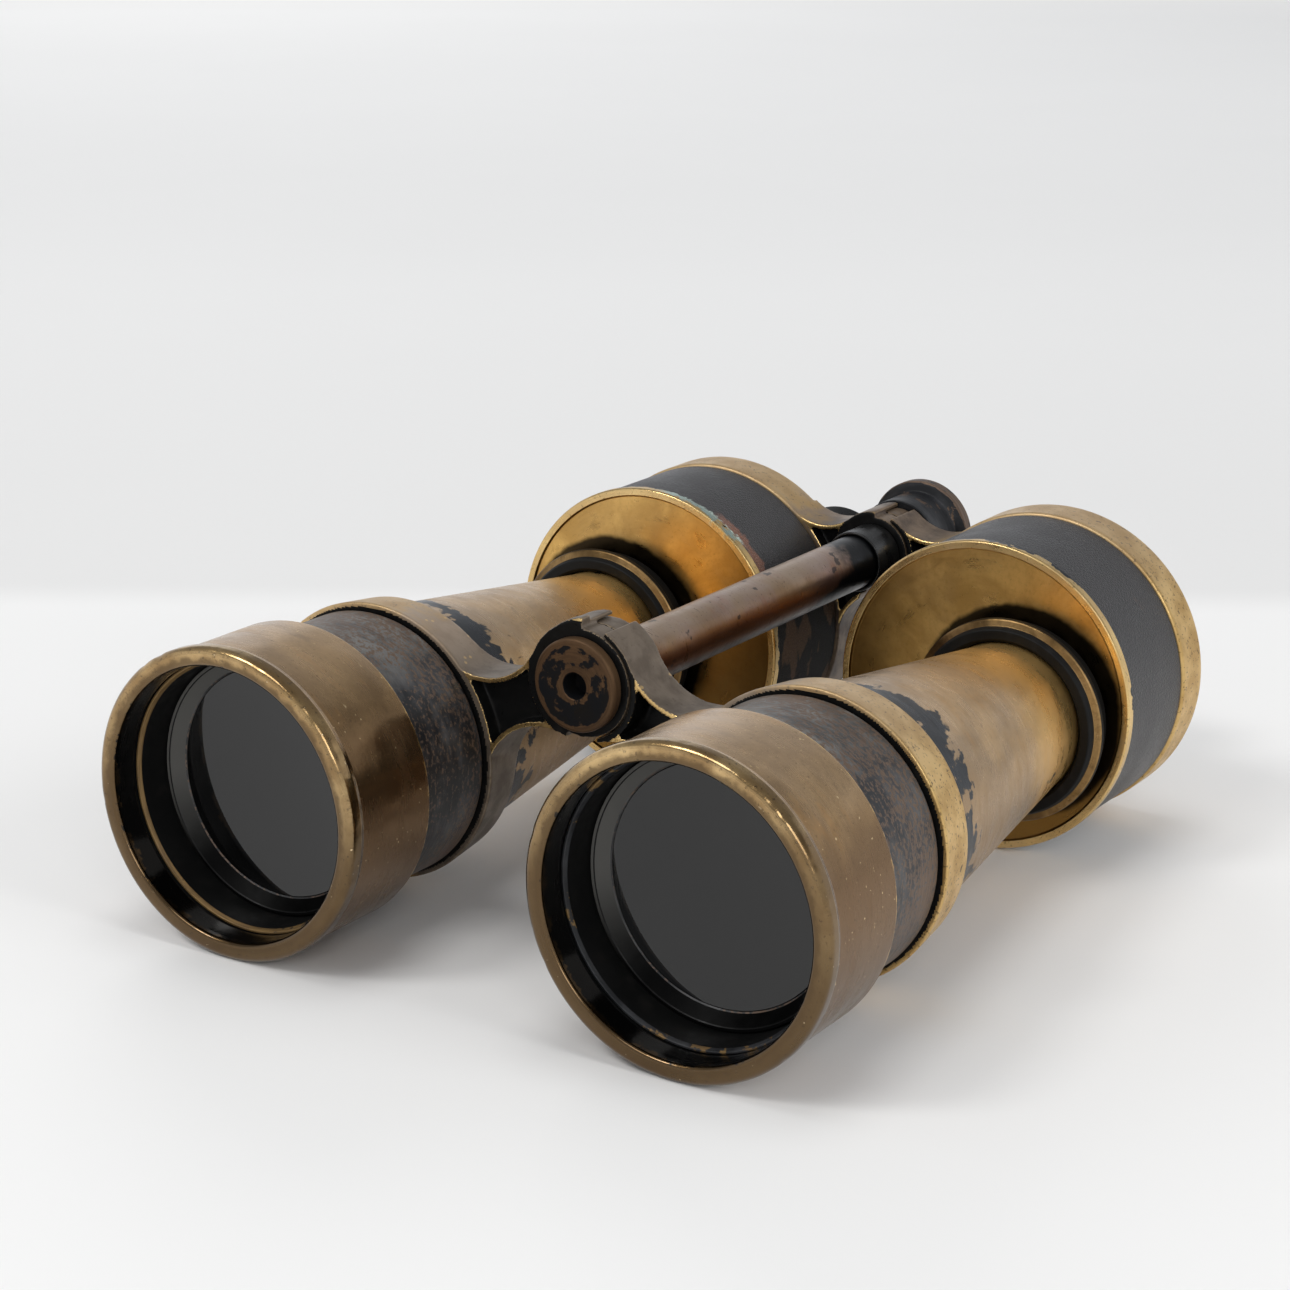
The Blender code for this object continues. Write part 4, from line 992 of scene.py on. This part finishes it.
def makeEyepiece(prefix, side, half, focusBody, slideBody):
    e = eyepiece
    bore, front, back, (start, end) = e["bore"], e["front"], e["back"], e["flange"]
    outer, wide = bore + e["wall"], e["flangeRadius"]
    spigot = outer - 2 * slack
    corners = [(spigot, front, 0.2), (spigot, start, 0.1), (wide, start, 0.4), (wide, end, 0.5),
               (outer, end, 0.2), (outer, back, 0.4), (bore, back, 0.2), (bore, front, 0.2)]
    turnFinished(prefix + "eyepiece_tube", corners, "eyepiece", side, 128, 3.0, ("plain",), half,
                 "aged_brass")

    start, end = e["ring"]
    inner, step = outer + slack, e["step"]
    wide = inner + e["ringWall"]
    corners = [(wide - step, start, 0.3), (wide - step, start + 2 * step, 0.2),
               (wide, start + 3 * step, 0.5, 1), (wide, end - 0.6, 0.5), (wide - 0.5, end, 0.2),
               (inner, end, 0.2), (inner, start, 0.2)]
    piece = turnPiece(prefix + "focus_ring", corners, "eyepiece", side, 288, 1.0)
    knurlRing(piece, side, wide, start + 3 * step + 0.5, end - 1.0)
    finishPiece(piece, ("satin", "ring"), focusBody, "black_lacquer", prefix + "focus_ring")

    start, end = e["draw"]
    outer = bore - slack
    inner = outer - e["drawWall"]
    corners = sleeve(outer, inner, start, end, (0.2, 0.2, 0.2, 0.2), 1)
    turnFinished(prefix + "draw_tube", corners, "eyepiece", side, 128, 3.0, ("plain", "inner"), slideBody,
                 "brass")

    floorStation, socket, radius = end + slack, outer + slack, inner - slack
    start, end = e["cup"]
    wall, wide, opening = socket + e["cupWall"], e["cupRadius"], e["opening"]
    corners = [(wall, start, 0.5), (wall, floorStation, 2.0), (wide, end - 0.7, 0.6),
               (wide - 0.7, end, 0.5), (wide - 1.5, end, 0.4),
               (opening, floorStation + e["cupFloor"], 0.5), (opening, floorStation, 0.2),
               (socket, floorStation, 0.2), (socket, start, 0.2)]
    turnFinished(prefix + "eyecup", corners, "eyepiece", side, 160, 1.5, ("satin",), slideBody, "ebonite")

    # The lenses bulge at the front, and half as much at the back.
    reaches = [radius * k / 12 for k in range(13)]
    face = [(reach, fallOf(e["curve"], reach), 0.1 if reach == reaches[-1] else 0) for reach in reaches]
    for label, (start, thick) in (("eye_lens", e["eyeLens"]), ("field_lens", e["fieldLens"])):
        glass = [(reach, start + fall, soft) for reach, fall, soft in face]
        glass += [(reach, start + thick - fall / 2, soft) for reach, fall, soft in reversed(face)]
        turnFinished(prefix + label, glass, "eyepiece", side, 96, 4.0, ("glass",), slideBody, "glass")


# Straight knurling: the ring's face goes in and out round the axis.
def knurlRing(piece, side, radius, start, end, teeth=48, depth=0.35):
    centreX, centreZ = side * axes["eyepiece"][0], axes["eyepiece"][1]
    for vertex in piece.data.vertices:
        x, y, z = (c / mm for c in vertex.co)
        x, z = x - centreX, z - centreZ
        station = y + middleStation
        away = math.hypot(x, z)
        if away > radius - 0.05 and start <= station <= end:
            pull = depth * (0.5 + 0.5 * math.cos(math.atan2(z, x) * teeth)) / away
            vertex.co.x -= x * pull * mm
            vertex.co.z -= z * pull * mm


hinge = {"radius": 6.5, "wall": 1.7, "front": frontForm["front"], "back": rearForm["back"],
         "discRadius": 10.2, "discFront": 47.3, "hole": 2.9, "holeDepth": 5.0, "spigot": 8.0,
         "collarRadius": 7.4, "collar": (167.8, 177.8), "capRadius": 10.6, "capFlange": 13.2,
         "capFront": 190.6, "capLength": 15.0, "flangeLength": 3.4}


def makeHinge(body):
    h = hinge
    radius, front, back = h["radius"], h["front"], h["back"]
    bore = radius - h["wall"]
    spigot, spigotBack, spigotFront = bore - slack, front + h["spigot"], back - h["spigot"]
    corners = sleeve(radius, bore, front, back, (0.2, 0.2, 0.1, 0.1))
    turnFinished("hinge_tube", corners, "hinge", 1, 128, 2.0, ("hinge",), body, "bronze")

    start, end, wide = h["discFront"], front - slack, h["discRadius"]
    hole, holeBack = h["hole"], start + h["holeDepth"]
    corners = [(0, holeBack), (hole, holeBack, 0.2), (hole, start, 0.35),
               (wide, start, 0.7), (wide, end, 0.2), (spigot, end, 0.1),
               (spigot, spigotBack, 0.1), (0, spigotBack)]
    turnFinished("hinge_screw", corners, "hinge", 1, 160, 1.0, ("disc",), body, "black_lacquer")

    start, wide, widest = h["capFront"], h["capRadius"], h["capFlange"]
    end = start + h["capLength"]
    flangeStart = end - h["flangeLength"]
    corners = [(0, spigotFront), (spigot, spigotFront, 0.2), (spigot, start, 0.1),
               (wide, start, 0.3), (wide, flangeStart - 0.9, 0.6), (widest, flangeStart, 0.4),
               (widest, end, 0.7), (0, end)]
    turnFinished("hinge_cap", corners, "hinge", 1, 160, 1.5, ("cap",), body, "black_lacquer")

    start, end = h["collar"]
    outer, inner = h["collarRadius"], radius + slack
    corners = sleeve(outer, inner, start, end, (0.3, 0.3, 0.1, 0.1))
    turnFinished("hinge_collar", corners, "hinge", 1, 128, 2.0, ("satin",), body, "black_lacquer")


for prefix, side in sides:
    half, start = prefix + "_half", prefix + "_"
    for make in (makeHood, makeBarrel, makeLens, makeTube, makeCollar):
        make(start, side, half)
    makeBridge(start, side, frontForm, "front_bridge", half)
    makeDrum(start, side, half)
    makeBridge(start, side, rearForm, "rear_bridge", half)
    makeEyepiece(start, side, half, prefix + "_focus", prefix + "_ocular")
    print(prefix, "barrel made")
makeHinge("right_half")

# The inner nodes keep their CAD shapes.
innerLooks = {"prism_shelf": "inner", "rear_prism_strap": "inner", "front_prism_strap": "inner",
              "rear_prism": "glass", "front_prism": "glass", "field_stop": "inner", "hinge_spindle": "hinge"}
for name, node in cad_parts.items():
    if not node.hide_render:
        look = next(value for key, value in innerLooks.items() if name.endswith(key))
        for k in range(len(node.material_slots)):
            node.material_slots[k].material = finishes[look]
print("pieces made")

# The floor is one sheet, in metres. Past a soft line behind the object it is darker and grows slowly lighter:
# painted shade and light for the backdrop.
# Far out, where the lamps no longer reach, it has one even pale tone.
floor = {"half": 8.0, "table": 0.865, "low": 0.77, "high": 0.84, "far": 0.91, "ahead": (-0.5374, 0.8433, 0.0),
         "line": 0.2185, "soft": 0.016, "rise": 0.6, "fall": 1.6, "even": (0.79, 0.79, 0.79),
         "evenFrom": (2.4, 3.2), "warmth": 0.004}
finish = newFinish("floorPaint")
spot = place()
beyond = addNode("VectorMath", {0: spot, 1: floor["ahead"]}, operation="DOT_PRODUCT").outputs["Value"]
line, soft, riseEnd = floor["line"], floor["soft"], floor["line"] + floor["rise"]
# Painted shade and light for the backdrop: darker just past the line, lighter further out.
backTone = ramp(beyond, line, riseEnd, floor["low"], floor["high"])
farTone = ramp(beyond, riseEnd, line + floor["fall"], 0, floor["far"] - floor["high"])
backTone = plus(backTone, farTone)
tone = blendValue(ramp(beyond, line - soft, line + soft), floor["table"], backTone)
tone = plus(tone, drift(spot, 3, -0.004, 0.004, detail=3))
grey = addNode("CombineColor", {0: tone, 1: minus(tone, floor["warmth"]),
                                2: minus(tone, 2 * floor["warmth"])}).outputs[0]
out = closeFinish(grey, 0.0, drift(spot, 400, 0.55, 0.65, detail=2),
                  bumpUp(grain(spot, 900, detail=2), 0.02, 0.1), **{"Specular IOR Level": 0.1})
lit = out.inputs["Surface"].links[0].from_socket
rays = addNode("LightPath").outputs
seen = plus(rays["Is Camera Ray"], rays["Is Glossy Ray"])
seen = calc("ADD", seen, rays["Is Transmission Ray"], clamp=True)
away = addNode("VectorMath", {0: spot}, operation="LENGTH").outputs["Value"]
glow = addNode("Emission", {"Color": (*floor["even"], 1.0), "Strength": 1.0}).outputs[0]
even = times(seen, ramp(away, *floor["evenFrom"]))
mixed = addNode("MixShader", {0: even, 1: lit, 2: glow}).outputs[0]
finish.node_tree.links.new(mixed, out.inputs["Surface"])
mesh = bpy.data.meshes.new("floor")
half = floor["half"]
mesh.from_pydata([(-half, -half, 0), (half, -half, 0), (half, half, 0), (-half, half, 0)], [], [(0, 1, 2, 3)])
mesh.materials.append(finish)
sheet = addObject("floor", mesh)

# Soft round lamps, as (azimuth from +y towards +x, height angle, watts, distance, width).
lamps = {"right": (90, 25, 29.0, 3, 1.5), "frontRight": (138, 30, 13.5, 3, 1.2),
         "backLeft": (315, 25, 30.0, 4, 2), "frontTop": (192, 50, 7.0, 3, 0.9),
         "frontLeft": (215, 50, 19.0, 3, 0.8), "top": (0, 90, 19.0, 3, 1.5)}
lampColour = (1.0, 0.995, 0.98)
for label, (azimuth, height, power, distance, width) in lamps.items():
    data = bpy.data.lights.new(label, "AREA")
    data.shape, data.size, data.energy, data.color = "DISK", width, power, lampColour
    lamp = addObject(label, data)
    azimuth, height = math.radians(azimuth), math.radians(height)
    flat = math.cos(height)
    toward = Vector((flat * math.sin(azimuth), flat * math.cos(azimuth), math.sin(height)))
    lamp.location = toward * distance
    lamp.rotation_mode = "QUATERNION"
    lamp.rotation_quaternion = toward.to_track_quat("Z", "Y")
    lamp.visible_camera = False
    lamp.visible_glossy = label.startswith("front")

# The world is lighter near the horizon, as pale walls are, and darker overhead.
sky = {"from": 0.34, "to": 0.50, "horizon": 0.80, "above": 0.30, "red": 0.975, "blue": 1.04}
world = bpy.data.worlds.new("room")
bpy.context.scene.world = world
world.use_nodes = True
tree = filling["tree"] = world.node_tree
heightOf = split(addNode("TexCoord").outputs["Generated"])[2]
level = ramp(heightOf, sky["from"], sky["to"], sky["horizon"], sky["above"])
tint = addNode("CombineColor", {0: times(level, sky["red"]), 1: level,
                                2: times(level, sky["blue"])}).outputs[0]
tree.links.new(tint, tree.nodes["Background"].inputs["Color"])
tree.nodes["Background"].inputs["Strength"].default_value = 1.0
print("floor and lamps made")

view = {"spot": (0.32434197, -0.54475837, 0.23860264), "azimuth": 0.56738786, "elevation": 0.28911696,
        "roll": 0.00552177, "lens": 81.5829}
cameraData = bpy.data.cameras.new("camera")
camera = addObject("camera", cameraData)
sinA, cosA = math.sin(view["azimuth"]), math.cos(view["azimuth"])
sinE, cosE = math.sin(view["elevation"]), math.cos(view["elevation"])
backward = Vector((sinA * cosE, -cosA * cosE, sinE))
rightward = Vector((cosA, sinA, 0))
upward = backward.cross(rightward)
c, s = math.cos(view["roll"]), math.sin(view["roll"])
rightward, upward = rightward * c + upward * s, upward * c - rightward * s
turned = Matrix((rightward, upward, backward)).transposed()
camera.matrix_world = Matrix.Translation(view["spot"]) @ turned.to_4x4()
cameraData.lens, cameraData.sensor_width = view["lens"], 36.0
cameraData.clip_start, cameraData.clip_end = 0.01, 50.0
bpy.context.scene.camera = camera
bpy.context.scene.view_settings.view_transform = "Standard"
